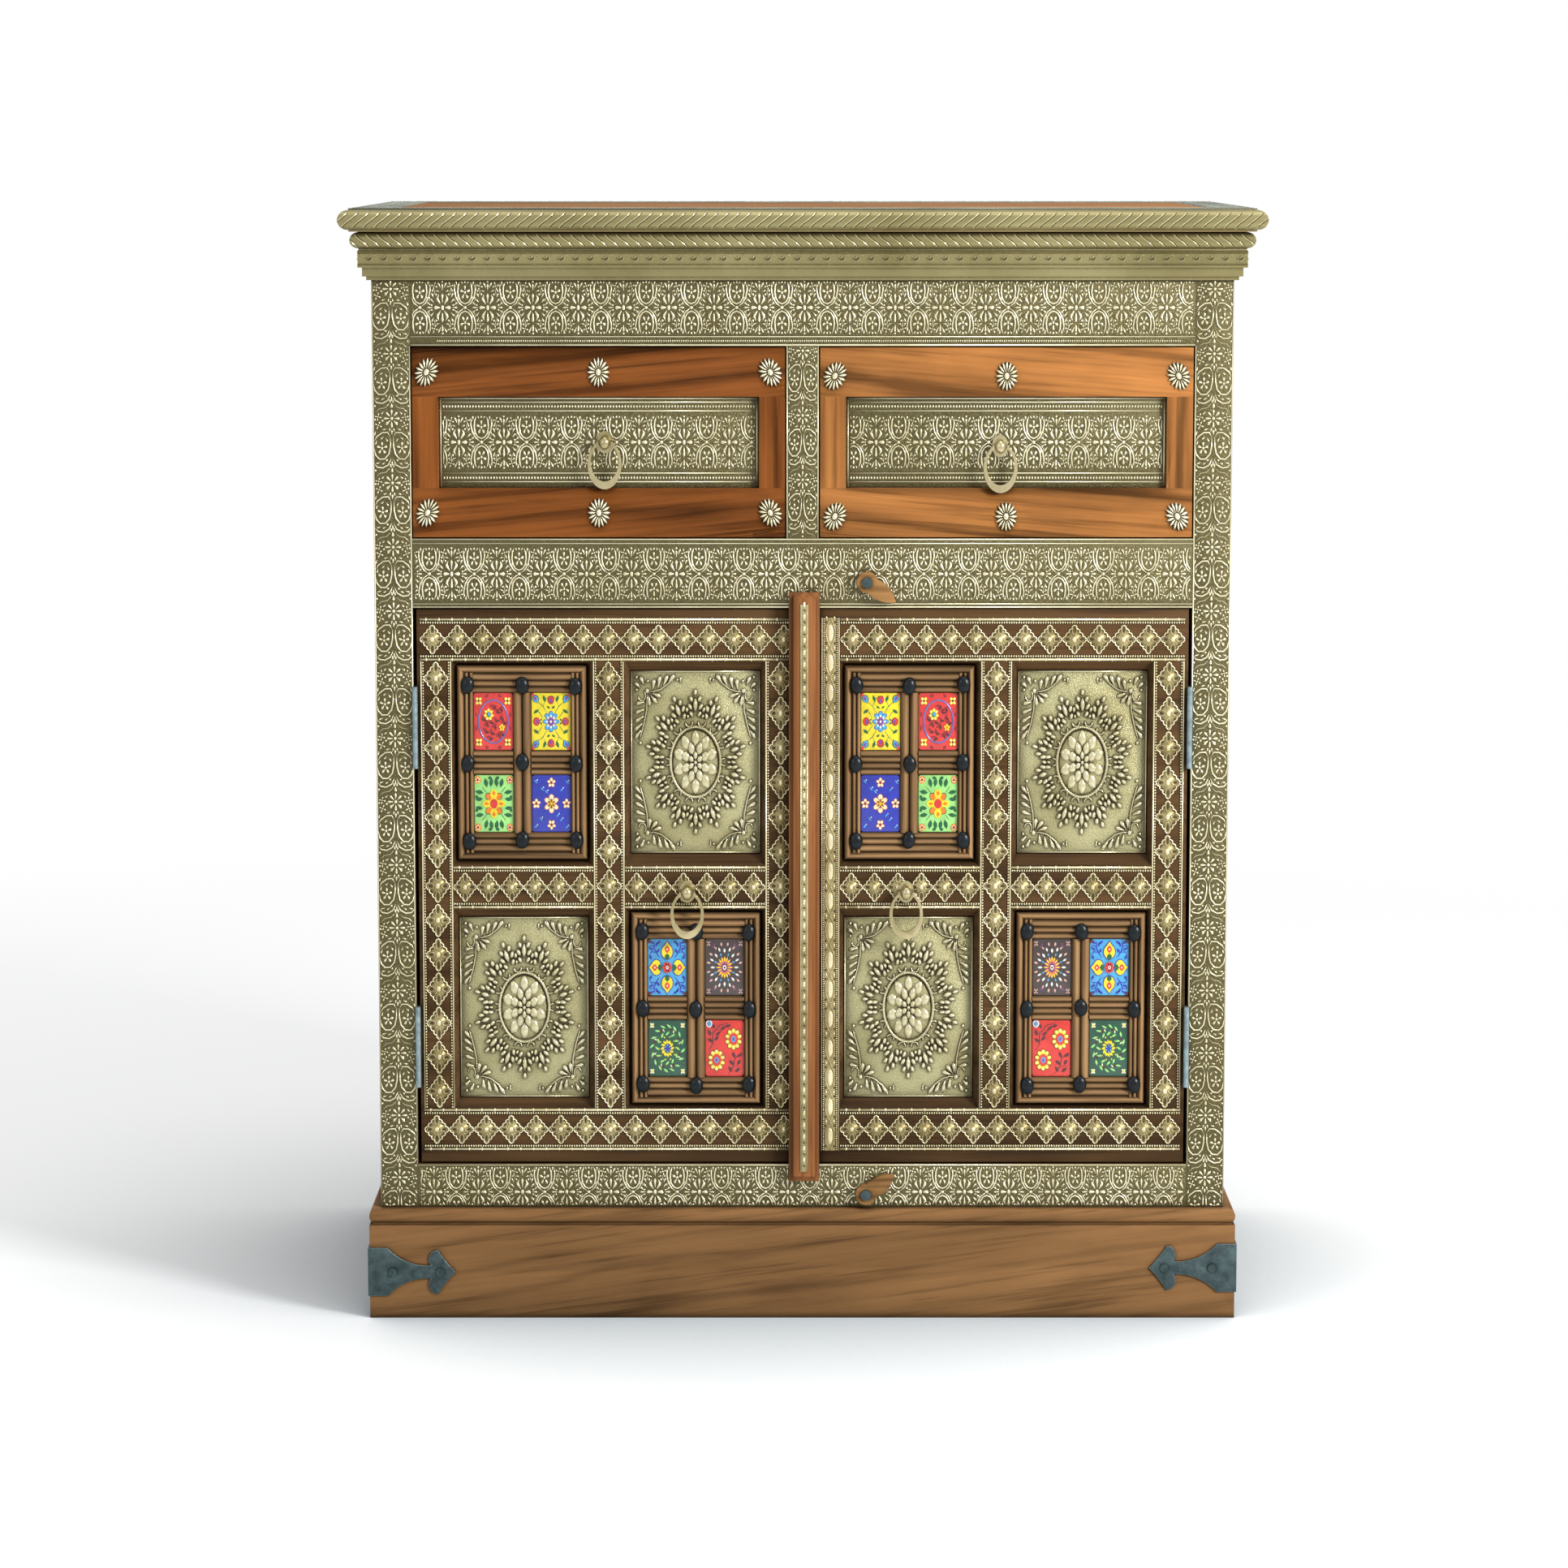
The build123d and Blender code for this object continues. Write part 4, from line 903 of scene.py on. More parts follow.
def cornice_ring(make_run, reach_x, front_y):
    """Lay a run along the front and both sides, mitred at the front corners.

    make_run(start, end) gives a bmesh with its length along X, its outer side at -Y and its axis line at y 0."""
    bm = bmesh.new()
    front_run = make_run(-reach_x - 20, reach_x + 20)
    for side in (-1, 1):
        cut(front_run, (side * reach_x, 0, 0), (side, 1, 0))
        close(front_run)
    join(bm, front_run, Matrix.Translation((0, front_y, 0)))
    depth = BACK_Y - front_y
    side_run = make_run(-20, depth + 4)
    cut(side_run, (0, 0, 0), (-1, 1, 0))
    cut(side_run, (depth - 0.3, 0, 0), (1, 0, 0))
    close(side_run)
    mesh = baked("run", side_run)
    to_right = Matrix.Translation((reach_x, front_y, 0)) @ Matrix.Rotation(math.pi / 2, 4, "Z")
    lay(bm, mesh, to_right)
    join(bm, mesh, Matrix.Diagonal((-1, 1, 1, 1)) @ to_right)
    return bm


def rope_run(radius, pitch, lean, swell):
    """A round rod with slanting cuts raised over its outer side, each lightened as a painted highlight with a strip of
    painted shadow beside it.
    """
    reach = radius * 1.9
    slant = []
    for i in range(LINE_STEPS + 1):
        t = i / LINE_STEPS - 0.5
        slant.append((lean * (t + 0.06 * math.sin(TURN * t)) * reach * 0.95, t * reach))

    def make(start, end):
        turns = [TURN * i / ROPE_SIDES for i in range(ROPE_SIDES)]
        bm = moulding_run([(radius * math.cos(a), radius * math.sin(a)) for a in turns], start, end)
        for face in bm.faces:
            face.smooth = len(face.verts) == 4
        for i in range(int((end - start) / pitch)):
            u = start + (i + 0.5) * pitch
            # Each cut: a raised line in painted-highlight brass, and beside it a low strip in painted-shadow brass.
            for width, rise, beside, finish in ((1.05, swell, 0.0, 1), (1.35, 0.22, 1.1, 2)):
                mark = line_mesh(slant, width, rise, taper=0.2)
                for vert in mark.vertices:
                    across, along, out = vert.co
                    a = along / radius
                    r = radius - 0.12 + out
                    vert.co = (u + across + beside, -r * math.cos(a), r * math.sin(a))
                join(bm, mark, material=finish)
        return bm

    return make


def make_ropes():
    """The two round mouldings of the cornice, with their slanting cuts."""
    for name, node, radius, reach_x, y, z, pitch, lean in (
        ("upper_rope_moulding", "upper_rope", 8.25, TOP_HALF_WIDTH, TOP_FRONT_Y, 890.25, 8.6, 1),
        ("lower_rope_moulding", "lower_rope", 6.75, 351.95, -186.7, 874.25, 9.0, -1),
    ):
        bm = cornice_ring(rope_run(radius - 0.35, pitch, lean, 0.45), reach_x, y)
        place = Matrix.Scale(MM, 4) @ Matrix.Translation((0, 0, z))
        finish = ("cornice brass", "cut brass", "brass shadow")
        piece(name, bm, "cabinet", finish, (node,), 60, place)


def make_scroll_band():
    """The scrolled band and its folded edges."""
    inner_y, outer_y, low, high, pitch = 20, 0.4, 852.5, 866.0, 11.7
    turn = plane((0, 0, 0), (1, 0, 0), (0, 0, 1)) @ Matrix.Scale(1 / MM, 4)

    def make(start, end):
        bm = moulding_run([(inner_y, low), (outer_y, low), (outer_y, high), (inner_y, high)], start, end)
        ease(bm, [e for e in bm.edges if all(v.co.y < 1 for v in e.verts)], 0.3)
        for i in range(int((end - start) / pitch) + 1):
            place = Matrix.Translation((start + (i + 0.5) * pitch, outer_y, 859.3))
            lay(bm, "scroll", place @ turn @ Matrix.Diagonal((1, 1, 0.9, 1)))
        for v, width in ((853.6, 1.6), (855.2, 0.8), (863.9, 0.8), (865.2, 1.3)):
            place = Matrix.Translation((0, outer_y, 0)) @ turn
            line(bm, [(start, v), (end, v)], width, 0.55, matrix=place, taper=1.0)
        return bm

    bm = cornice_ring(make, 353.0, -187.75)
    finish = ("cornice brass", "brass shadow", "cut brass")
    piece("scrolled_band", bm, "cabinet", finish, ("scroll_band",), 60, Matrix.Scale(MM, 4))


# ------------------------------------------------------------------ doors
LEVEL_PITCH = 20.0
TALL_PITCH = 28.8
KNOT_PITCH = 10.5
OVAL_PITCH = 23.8
OUTER_STILE, MIDDLE_STILE = (307.3, 282.0), (168.65, 143.35)
# The third finish stands for the wood seen through the piercings, darkened as painted shade.
STRIP_FINISH = ("pierced brass", "strip ground", "pierced hollow")


def level_strip(bm, u_range, v_range):
    """A level run of pierced brass: folded rims, bars and a row of lozenges."""
    low, high = v_range
    for v, way in ((low, 1), (high, -1)):
        level_rims(bm, u_range, ((v + way * 1.3, 2.2, 1.0),))
        # A dark band under the beads: wood in painted shade between them.
        slab(bm, u_range, span(v + way * 2.4, v + way * 5.0), (0, 0.2), material=2)
        for u in middles(*u_range, 1.95):
            lay(bm, "bead", at(u, v + way * 3.9, 0, 0, (0.74, 1.2, 1.0)))
        for u in middles(*u_range, KNOT_PITCH):
            lay(bm, "bud", at(u, v + way * 1.3, 0.1, 0, (1.1, 1.6, 1.15)))
    pitch = steps(*u_range, LEVEL_PITCH)[1]
    size = (pitch / 2 / 9.5, (high - low - 10.6) / 2 / 14.2, 1)
    for u in middles(*u_range, LEVEL_PITCH):
        lay(bm, "diamond", at(u, (low + high) / 2, 0, 0, size))


def beaded_edge(bm, u, way, v_range, rim_shape, bar, bar_heights, bead_u, bead_pitch, bead_size):
    """A folded rim, a bar and a row of beads, one beside the other, up an edge at u that opens towards way."""
    at_u, width = rim_shape
    rim(bm, (u + way * at_u, v_range[0]), (u + way * at_u, v_range[1]), width, 1.0)
    # A dark bar under the beads: wood in painted shade between them.
    slab(bm, span(u + way * bar[0], u + way * bar[1]), v_range, bar_heights, material=2)
    for v in middles(*v_range, bead_pitch):
        lay(bm, "bead", at(u + way * bead_u, v, bar_heights[0], 0, bead_size))


def upright_strip(bm, u_range, v_range):
    """An upright run of pierced brass, with round beads inside its rims."""
    left, right = u_range
    for u, way in ((left, 1), (right, -1)):
        beaded_edge(bm, u, way, v_range, (0.8, 1.5), (1.2, 3.2), (0, 0.2), 2.3, 2.3, (0.78, 0.92, 0.95))
    pitch = steps(*v_range, TALL_PITCH)[1]
    size = (((right - left) / 2 - 3.0) / 9.2, pitch / 2 / 14.3, 1)
    for v in middles(*v_range, TALL_PITCH):
        lay(bm, "diamond", at((left + right) / 2, v, 0, 0, size))


def narrow_strip(bm, u_range, v_range):
    """A narrow run of pointed ovals between beads, on a plain brass ground."""
    left, right = u_range
    low, high = v_range
    middle = (left + right) / 2
    slab(bm, u_range, v_range, (0, 0.35), edge=0.15, material=1)
    for u, way in ((left, 1), (right, -1)):
        beaded_edge(bm, u, way, v_range, (0.7, 1.2), (1.3, 3.1), (0.3, 0.42), 2.2, 1.8, (0.72, 0.74, 0.75))
    count, pitch = steps(low, high, OVAL_PITCH)
    points = count * 12
    for side in (-1, 1):
        wave = [
            (middle + side * 3.7 * math.sin(math.pi * count * i / points), low + (high - low) * i / points)
            for i in range(points + 1)
        ]
        line(bm, wave, 1.0, 0.75, h=0.3)
    for v in middles(low, high, OVAL_PITCH):
        lay(bm, "round_bud", at(middle, v, 0.3, 0, (2.3, 7.2, 0.6)))
        for side in (-1, 1):
            for way in (-1, 1):
                # Spots of wood in painted shade at the ends of the ovals.
                lay(bm, "bud", at(middle + side * 3.5, v + way * (pitch / 2 - 3.6), 0.3, 0, (0.85, 1.35, 0.3)), 2)
            lay(bm, "bud", at(middle + side * 3.2, v + pitch / 2, 0.3, 0, (0.9, 1.3, 0.7)))


def make_door_strips():
    """The pierced brass strips on both doors."""
    low, middle, high = (136.5, 171.5), (336.0, 371.0), (537.5, 572.5)
    for name, side in SIDES:
        inner = 4.7 if side < 0 else 30.4
        bm = bmesh.new()
        for v_range in (low, high):
            level_strip(bm, span(side * OUTER_STILE[0], side * inner), v_range)
        tall = (low[1], high[0])
        for far, near in (OUTER_STILE, MIDDLE_STILE):
            upright_strip(bm, span(side * far, side * near), tall)
        if side < 0:
            upright_strip(bm, (-30.0, -4.7), tall)
        else:
            narrow_strip(bm, (15.0, 30.0), (low[0], high[1]))
        for far, near in ((OUTER_STILE[1], MIDDLE_STILE[0]), (MIDDLE_STILE[1], 30.0)):
            level_strip(bm, span(side * far, side * near), middle)
        piece(
            f"{name}_door_pierced_strips", bm, f"{name}_door", STRIP_FINISH, (f"{name}_door_strips",),
            matrix=front(DOOR_WOOD_Y),
        )


# Round buds of a cluster, as (place along it, place beside it in its own width, lean, half width, half length)
CLUSTER_BUDS = (
    (0.78, 0.21, 0.35, 1.8, 3.0), (0.56, 0.30, 0.5, 1.9, 3.2), (0.34, 0.27, 0.45, 1.7, 2.9), (0.50, 0.5, 0.0, 1.6, 2.5),
    (0.30, 0.5, 0.0, 1.3, 1.9),
)


def bud_cluster(bm, angle, step, ring, reach):
    """A spear between rows of buds, from the beaded ring outwards, with a hook beside its foot."""

    def on(size, a):
        return Vector((size[0] * math.cos(a), size[1] * math.sin(a)))

    foot, tip = on(ring, angle), on(reach, angle)
    along = tip - foot
    heading = math.atan2(along.y, along.x) - math.pi / 2
    lay(bm, "spear", at(*(foot + along * 0.60), 0, heading, (2.2, 0.23 * along.length, 3.2)))
    lay(bm, "round_bud", at(*(foot + along * 0.97), 0, heading, (1.7, 3.0, 2.6)))
    for t, beside, lean, wide, tall in CLUSTER_BUDS:
        for side in (-1, 1) if beside < 0.5 else (1,):
            a = angle + side * beside * step
            spot = on(ring, a).lerp(on(reach, a), t)
            lay(bm, "round_bud", at(*spot, 0, heading + side * lean, (wide, tall, 2.7)))
    a = angle + step / 2
    spot = on(ring, a).lerp(on(reach, a), 0.11)
    heading = math.atan2(*reversed(on(reach, a) - on(ring, a)))
    turn = Matrix.Rotation(-(heading - math.pi / 2), 3, "Z")
    hook = [Vector((*point, 0)) @ turn for point in arc(0, 0, 2.9, 3.4, 165, 375, 9)]
    line(bm, [(spot.x + p.x, spot.y + p.y) for p in hook], 1.4, 1.8, crest=2)


SPRAY_LINES = (
    ([(14, 17), (13.6, 24), (13.1, 32.5), (11, 43), (8.4, 52.4), (7.0, 56.4)], 1.3),
    ([(14, 17), (19, 17.2), (25, 15.2), (31.4, 9.9), (36.6, 5.2)], 1.3),
    (arc(9.4, 20.5, 3.0, 4.4, -70, 190, 8), 1.2),
)
SPRAY_LEAVES = (
    ((12.8, 25.4), (3.4, 27.2)), ((12.8, 31), (2.8, 34.8)), ((12.2, 36.5), (2.6, 42.2)), ((11.2, 42), (2.4, 49)),
    ((9.6, 47.5), (3.0, 55.6)), ((18.2, 16.8), (19.4, 5.8)), ((22.2, 15.8), (24.4, 3.0)), ((26.4, 14.0), (30.6, 2.4)),
    ((30.2, 10.8), (36.2, 2.4)), ((14.8, 19), (15.6, 29.4)), ((15.6, 18.8), (21.8, 27.0)), ((16.4, 18.2), (25.6, 21.4)),
    ((8.6, 14.5), (3.0, 9.2)), ((11.5, 12.5), (7.6, 4.0)),
)
SPRAY_BUDS = (
    (8.0, 59.0, 1.4), (13.6, 16.6, 2.0), (14.2, 8.6, 1.3), (5.2, 15.8, 1.2), (5.2, 5.4, 1.3), (38.0, 7.6, 1.1),
)


def make_corner_spray():
    """Two leafy stems from a corner, one 43 up and one 22 along."""
    bm = bmesh.new()
    for points, size in SPRAY_LINES:
        line(bm, points, size, size, crest=2)
    leaves(bm, [(*ends, 2.2, 2.2) for ends in SPRAY_LEAVES])
    for u, v, size in SPRAY_BUDS:
        lay(bm, "round_bud", at(u, v, 0, 0, (size, size * 1.2, 1.9)))
    keep_shape("spray", bm)


def make_medallion():
    """An embossed sheet 105 by 149: a domed flower in a beaded ring, a burst of buds and four corner sprays."""
    bm = bmesh.new()
    half_u, half_v = 52.5, 74.5
    ring_u, ring_v = 20.2, 28.6
    lay(bm, "boss", at(0, 0, 0, 0, (18.9, 27.2, 1.6)), 1)
    for count, reach, length, width, rise, lift, offset in (
        (10, 0.70, 0.285, 0.205, 2.5, 0.2, 0.0),
        (8, 0.43, 0.24, 0.155, 2.3, 1.3, 0.5),
        (6, 0.20, 0.15, 0.100, 2.0, 2.4, 0.0),
    ):
        for k in range(count):
            a = TURN * (k + offset) / count + math.pi / 2
            local = at(reach * math.cos(a), reach * math.sin(a), 0, a - math.pi / 2, (width, length, 1))
            lay(bm, "spear", at(0, 0, lift, 0, (19.0, 27.0, rise)) @ local)
    lay(bm, "bud", at(0, 0, 3.2, 0, (1.6, 1.9, 1.5)))
    line(bm, oval(0, 0, ring_u, ring_v, 48), 2.5, 1.9, closed=True, crest=2)
    for u, v in oval(0, 0, ring_u, ring_v, 72):
        lay(bm, "bead", at(u, v, 1.4, 0, (0.85, 1.0, 0.95)))
    clusters = 14
    for k in range(clusters):
        bud_cluster(bm, TURN * k / clusters + math.pi / 2, TURN / clusters, (21.5, 30.0), (39.6, 57.6))
    make_corner_spray()
    for side_u in (-1, 1):
        for side_v in (-1, 1):
            lay(bm, "spray", at(side_u * half_u, side_v * half_v, 0, 0, (-side_u, -side_v, 1)))
    for side in (-1, 1):
        for u in (-12.0, 12.0):
            lay(bm, "leaf", at(u, side * (half_v - 8.0), 0, 0 if side > 0 else math.pi, (1.1, 3.4, 1.3)))
        rim(bm, (-half_u + 1, side * (half_v - 0.8)), (half_u - 1, side * (half_v - 0.8)), 1.2, 0.5)
        rim(bm, (side * (half_u - 0.8), -half_v + 1), (side * (half_u - 0.8), half_v - 1), 1.2, 0.5)
    slab(bm, (-half_u, half_u), (-half_v, half_v), (-1.0, 0.0), material=1, edge=0.3)
    keep_shape("medallion", bm)


def panels(side, tiled):
    """Middles of a door's two tile panels or of its two medallions, the upper one first."""
    near, far = 86.25, 225.75
    upper, lower = (far, near) if tiled == (side < 0) else (near, far)
    return ((side * upper, 454.5), (side * lower, 253.5))


def make_medallions():
    """Two embossed medallion sheets to a door."""
    make_medallion()
    for name, side in SIDES:
        bm = bmesh.new()
        for u, v in panels(side, tiled=False):
            lay(bm, "medallion", front(MEDALLION_Y, x=u, z=v))
        piece(
            f"{name}_door_embossed_medallions", bm, f"{name}_door", ("medallion brass", "hammered brass"),
            (f"{name}_door_medallions",),
        )


FRAME_HALF_U, FRAME_HALF_V = 52.2, 78.8
TILE_U, TILE_V = 23.25, 33.4
TILE_HALF_U, TILE_HALF_V = 15.9, 23.3
# Section of one reed, as shares of its width and rise
REED = (
    (0.02, 0.0), (0.1, 0.42), (0.2, 0.68), (0.34, 0.91), (0.5, 1.0), (0.66, 0.91), (0.8, 0.68), (0.9, 0.42),
    (0.98, 0.0),
)


def reeded(bm, u_range, v_range, reeds, base, crest, upright, mitre=None):
    """A bar with parallel rounded reeds along its length, cut at 45 degrees where its outer corners are named."""
    across, along = (u_range, v_range) if upright else (v_range, u_range)
    width = (across[1] - across[0]) / reeds
    outline = [(across[0] + (k + t) * width, base + (crest - base) * h) for k in range(reeds) for t, h in REED]
    outline = [(across[0], base - 0.2), *outline, (across[1], base - 0.2)]
    bar = bmesh.new()
    verts = [bar.verts.new((a, along[0], h) if upright else (along[0], a, h)) for a, h in outline]
    length = along[1] - along[0]
    thicken(bar, [bar.faces.new(verts)], (0, length, 0) if upright else (length, 0, 0))
    for face in bar.faces:
        face.smooth = len(face.verts) == 4
    if mitre:
        corner_u, corner_v = mitre
        for way in (-1, 1):
            if upright:
                cut(bar, (corner_u, way * corner_v, 0), (-math.copysign(1, corner_u), way, 0))
            else:
                cut(bar, (way * corner_u, corner_v, 0), (way, -math.copysign(1, corner_v), 0))
            close(bar)
    join(bm, bar, material=0 if upright else 1)


def make_tile_frame():
    """A moulded frame with four openings, standing 9 from its back."""
    bm = bmesh.new()
    out_u, out_v = FRAME_HALF_U, FRAME_HALF_V
    side_in, mid_u = TILE_U + TILE_HALF_U, TILE_U - TILE_HALF_U
    end_in, mid_v = TILE_V + TILE_HALF_V, TILE_V - TILE_HALF_V
    tall, inside, wide = (-out_v, out_v), (-side_in, side_in), (-side_in - 0.4, side_in + 0.4)
    slab(bm, (-out_u, -side_in), tall, (0, 5.0))
    slab(bm, (side_in, out_u), tall, (0, 5.0))
    slab(bm, (-mid_u, mid_u), (-end_in, end_in), (0, 5.0))
    slab(bm, inside, (end_in, out_v), (0, 4.9))
    slab(bm, inside, (-out_v, -end_in), (0, 4.9))
    for side in (-1, 1):
        half = span(side * mid_u, side * side_in)
        slab(bm, half, (-mid_v, mid_v), (0, 4.9))
        # A broad outer moulding, then reeded bars
        reeded(bm, span(side * out_u, side * (out_u - 5.8)), tall, 1, 5.0, 9.0, True, (side * out_u, out_v))
        reeded(bm, span(side * (out_u - 5.9), side * side_in), (5.6 - out_v, out_v - 5.6), 2, 4.9, 8.2, True)
        ends = span(side * out_v, side * (out_v - 6.0))
        reeded(bm, (-out_u, out_u), ends, 1, 5.0, 9.0, False, (out_u, side * out_v))
        reeded(bm, wide, span(side * (out_v - 6.1), side * (out_v - 12.0)), 1, 4.8, 8.2, False)
        reeded(bm, wide, span(side * (out_v - 12.1), side * end_in), 2, 4.7, 7.8, False)
        reeded(bm, half, (-mid_v + 0.2, mid_v - 0.2), 4, 4.8, 7.8, False)
    reeded(bm, (-mid_u, mid_u), (-end_in - 0.4, end_in + 0.4), 2, 5.0, 8.6, True)
    keep_shape("tile_frame", bm)


def make_tile_frames():
    """Two moulded wood frames to a door, around four tiles each."""
    make_tile_frame()
    for name, side in SIDES:
        bm = bmesh.new()
        for u, v in panels(side, tiled=True):
            lay(bm, "tile_frame", front(TILE_FRAME_Y, x=u, z=v))
        piece(
            f"{name}_door_reeded_frames", bm, f"{name}_door", ("reeded wood", "reeded wood level"),
            (f"{name}_door_tile_frames",), sharp=70,
        )


STUD_PITCH_U, STUD_PITCH_V = 43.2, 63.0
# How far each stud stands from its even place
STUD_NUDGES = (
    (0.4, -0.6), (-0.3, 0.5), (0.6, 0.3), (-0.5, -0.4), (0.3, 0.9), (0.2, -0.5), (-0.6, 0.4), (0.5, 0.2), (-0.2, -0.7),
)


def make_studs():
    """Nine glossy black studs round each set of tiles."""
    bm = bmesh.new()
    lay(bm, "ball", at(0, 0, 0, 0, (5.45, 7.15, 3.55)))
    lay(bm, "boss", at(0, 0, 0, 0, (5.5, 7.2, 0.9)))
    keep_shape("stud", bm)
    studs = len(STUD_NUDGES)
    for name, side in SIDES:
        bm = bmesh.new()
        for panel, (u, v) in enumerate(panels(side, tiled=True)):
            for k in range(studs):
                du, dv = (k % 3 - 1) * STUD_PITCH_U, (k // 3 - 1) * STUD_PITCH_V
                nu, nv = STUD_NUDGES[(k + 4 * panel + (5 if side > 0 else 0)) % studs]
                place = front(STUD_Y, x=u + du + nu * 0.8, z=v + dv + nv)
                lay(bm, "stud", place @ Matrix.Rotation(nu * 0.2, 4, "Z"))
        piece(f"{name}_door_black_studs", bm, f"{name}_door", ("black glaze",), (f"{name}_door_studs",))


# ------------------------------------------------------------------ painted tiles
GLAZES = {
    "red": (222, 56, 48), "yellow": (243, 222, 34), "blue": (38, 52, 176), "pale blue": (74, 170, 224),
    "pale green": (158, 226, 128), "leaf green": (14, 96, 52), "dark green": (28, 82, 62), "cream": (246, 236, 190),
    "white": (238, 238, 232), "purple": (128, 70, 150), "night brown": (66, 54, 52), "orange": (240, 128, 26),
    "deep red": (150, 34, 44), "wine": (84, 26, 34), "pink": (228, 176, 160),
}
GLAZE_ORDER = list(GLAZES)
PAINT = 0.14  # rise of one level of paint
QUARTERS = ((1, 1), (-1, 1), (-1, -1), (1, -1))


def dab(bm, colour, u, v, half_u, half_v, turn=0.0, level=0, sides=10, pointed=False):
    """A flat dab of glaze standing a little proud of the tile."""
    disc = bmesh.new()
    bmesh.ops.create_circle(disc, cap_ends=True, segments=sides, radius=1.0)
    if pointed:
        bmesh.ops.scale(disc, vec=(0.35, 1.05, 1), verts=[vert for vert in disc.verts if abs(vert.co.y) > 0.75])
    thicken(disc, disc.faces[:], (0, 0, 1))
    join(bm, disc, at(u, v, 0, turn, (half_u, half_v, PAINT * (1 + level))), GLAZE_ORDER.index(colour))


def petal(bm, colour, u, v, half_u, half_v, turn=0.0, level=0):
    """A dab with pointed tips."""
    dab(bm, colour, u, v, half_u, half_v, turn, level, pointed=True)


def dabs(bm, u, v, rows, level=0):
    """Dabs one on another, from rows of (colour, half_u, half_v), each a level higher than the last."""
    for k, (colour, half_u, half_v) in enumerate(rows):
        dab(bm, colour, u, v, half_u, half_v, 0, level + k)


def stroke(bm, colour, points, width, signs=(1, 1)):
    """A painted line, narrower at its ends, mirrored by the signs of its quarter."""
    points = [(signs[0] * u, signs[1] * v) for u, v in points]
    line(bm, points, width, PAINT, material=GLAZE_ORDER.index(colour), taper=0.5, crest=2)


def ring_of(bm, draw, colour, count, u, v, ru, rv, half_u, half_v, level=0, start=90.0, spin=0.0):
    """Dabs or petals round an oval, each turned to point outwards."""
    for k in range(count):
        a = math.radians(start + 360 * k / count)
        heading = math.atan2(rv * math.sin(a), ru * math.cos(a)) - math.pi / 2
        draw(bm, colour, u + ru * math.cos(a), v + rv * math.sin(a), half_u, half_v, heading + spin, level)


def flower(bm, u, v, rows):
    """Rings of dabs round one place, from rows of (colour, count, ru, rv, half_u, half_v, level)."""
    for colour, count, *sizes in rows:
        ring_of(bm, dab, colour, count, u, v, *sizes)


def petals(bm, rows, signs=(1, 1)):
    """Petals from rows of (colour, u, v, half_u, half_v, turn, level), mirrored by the signs of their quarter."""
    for colour, u, v, half_u, half_v, turn, level in rows:
        petal(bm, colour, signs[0] * u, signs[1] * v, half_u, half_v, signs[0] * signs[1] * turn, level)


def tile_red_ring(bm):
    for rise, width, colour in ((3, 1.5, "purple"), (4, 0.5, "pale blue")):
        ring = oval(0, 0, 11.9, 17.4, 28)
        line(bm, ring, width, PAINT * rise, material=GLAZE_ORDER.index(colour), closed=True, crest=2)
    for k, (u, v, turn) in enumerate((
        (3.2, 8.6, 0.5), (-5.6, -1.6, -0.6), (2.0, 1.8, 0.9), (-1.5, -8.5, 0.2), (6.2, 3.6, -0.4), (-6.2, -7.4, 0.7),
        (3.8, -10.5, -0.6), (0.2, 12.6, 1.4), (-8.4, 2.6, 0.2), (8.2, -0.4, 1.2), (0.6, -3.4, -0.9), (-3.0, -13.0, 1.2),
        (-2.2, 0.2, 0.3), (6.6, -9.4, 0.2), (5.6, 10.6, -0.9),
    )):
        petal(bm, "deep red", u, v, 1.2, 2.9, turn, k % 2)
        petal(bm, "wine", u + 1.2, v - 1.4, 0.8, 2.1, turn + 1.0, 2)
    flower(bm, -3.6, 5.8, (("yellow", 7, 2.5, 3.3, 1.25, 1.6, 3), ("cream", 7, 2.9, 3.8, 0.55, 0.7, 4)))
    dab(bm, "leaf green", -3.6, 5.8, 1.7, 2.2, 0, 4)
    dab(bm, "pale blue", -3.4, 6.1, 1.2, 1.6, 0, 5)
    flower(bm, 7.0, -4.8, (("yellow", 5, 1.3, 1.7, 0.95, 1.2, 3),))
    dab(bm, "orange", 7.0, -4.8, 0.7, 0.9, 0, 4)
    for signs in QUARTERS:
        u, v = signs[0] * 11.6, signs[1] * 16.8
        flower(bm, u, v, (("yellow", 4, 1.6, 2.1, 1.2, 1.55, 4, 45), ("cream", 4, 1.7, 2.2, 0.6, 0.8, 5, 45)))
        dab(bm, "wine", u, v, 0.75, 1.0, 0, 5)
        petals(bm, (("deep red", 5.2, 21.0, 1.3, 2.0, 0.8, 0), ("deep red", 13.8, 5.6, 0.8, 2.4, 0.0, 0)), signs)


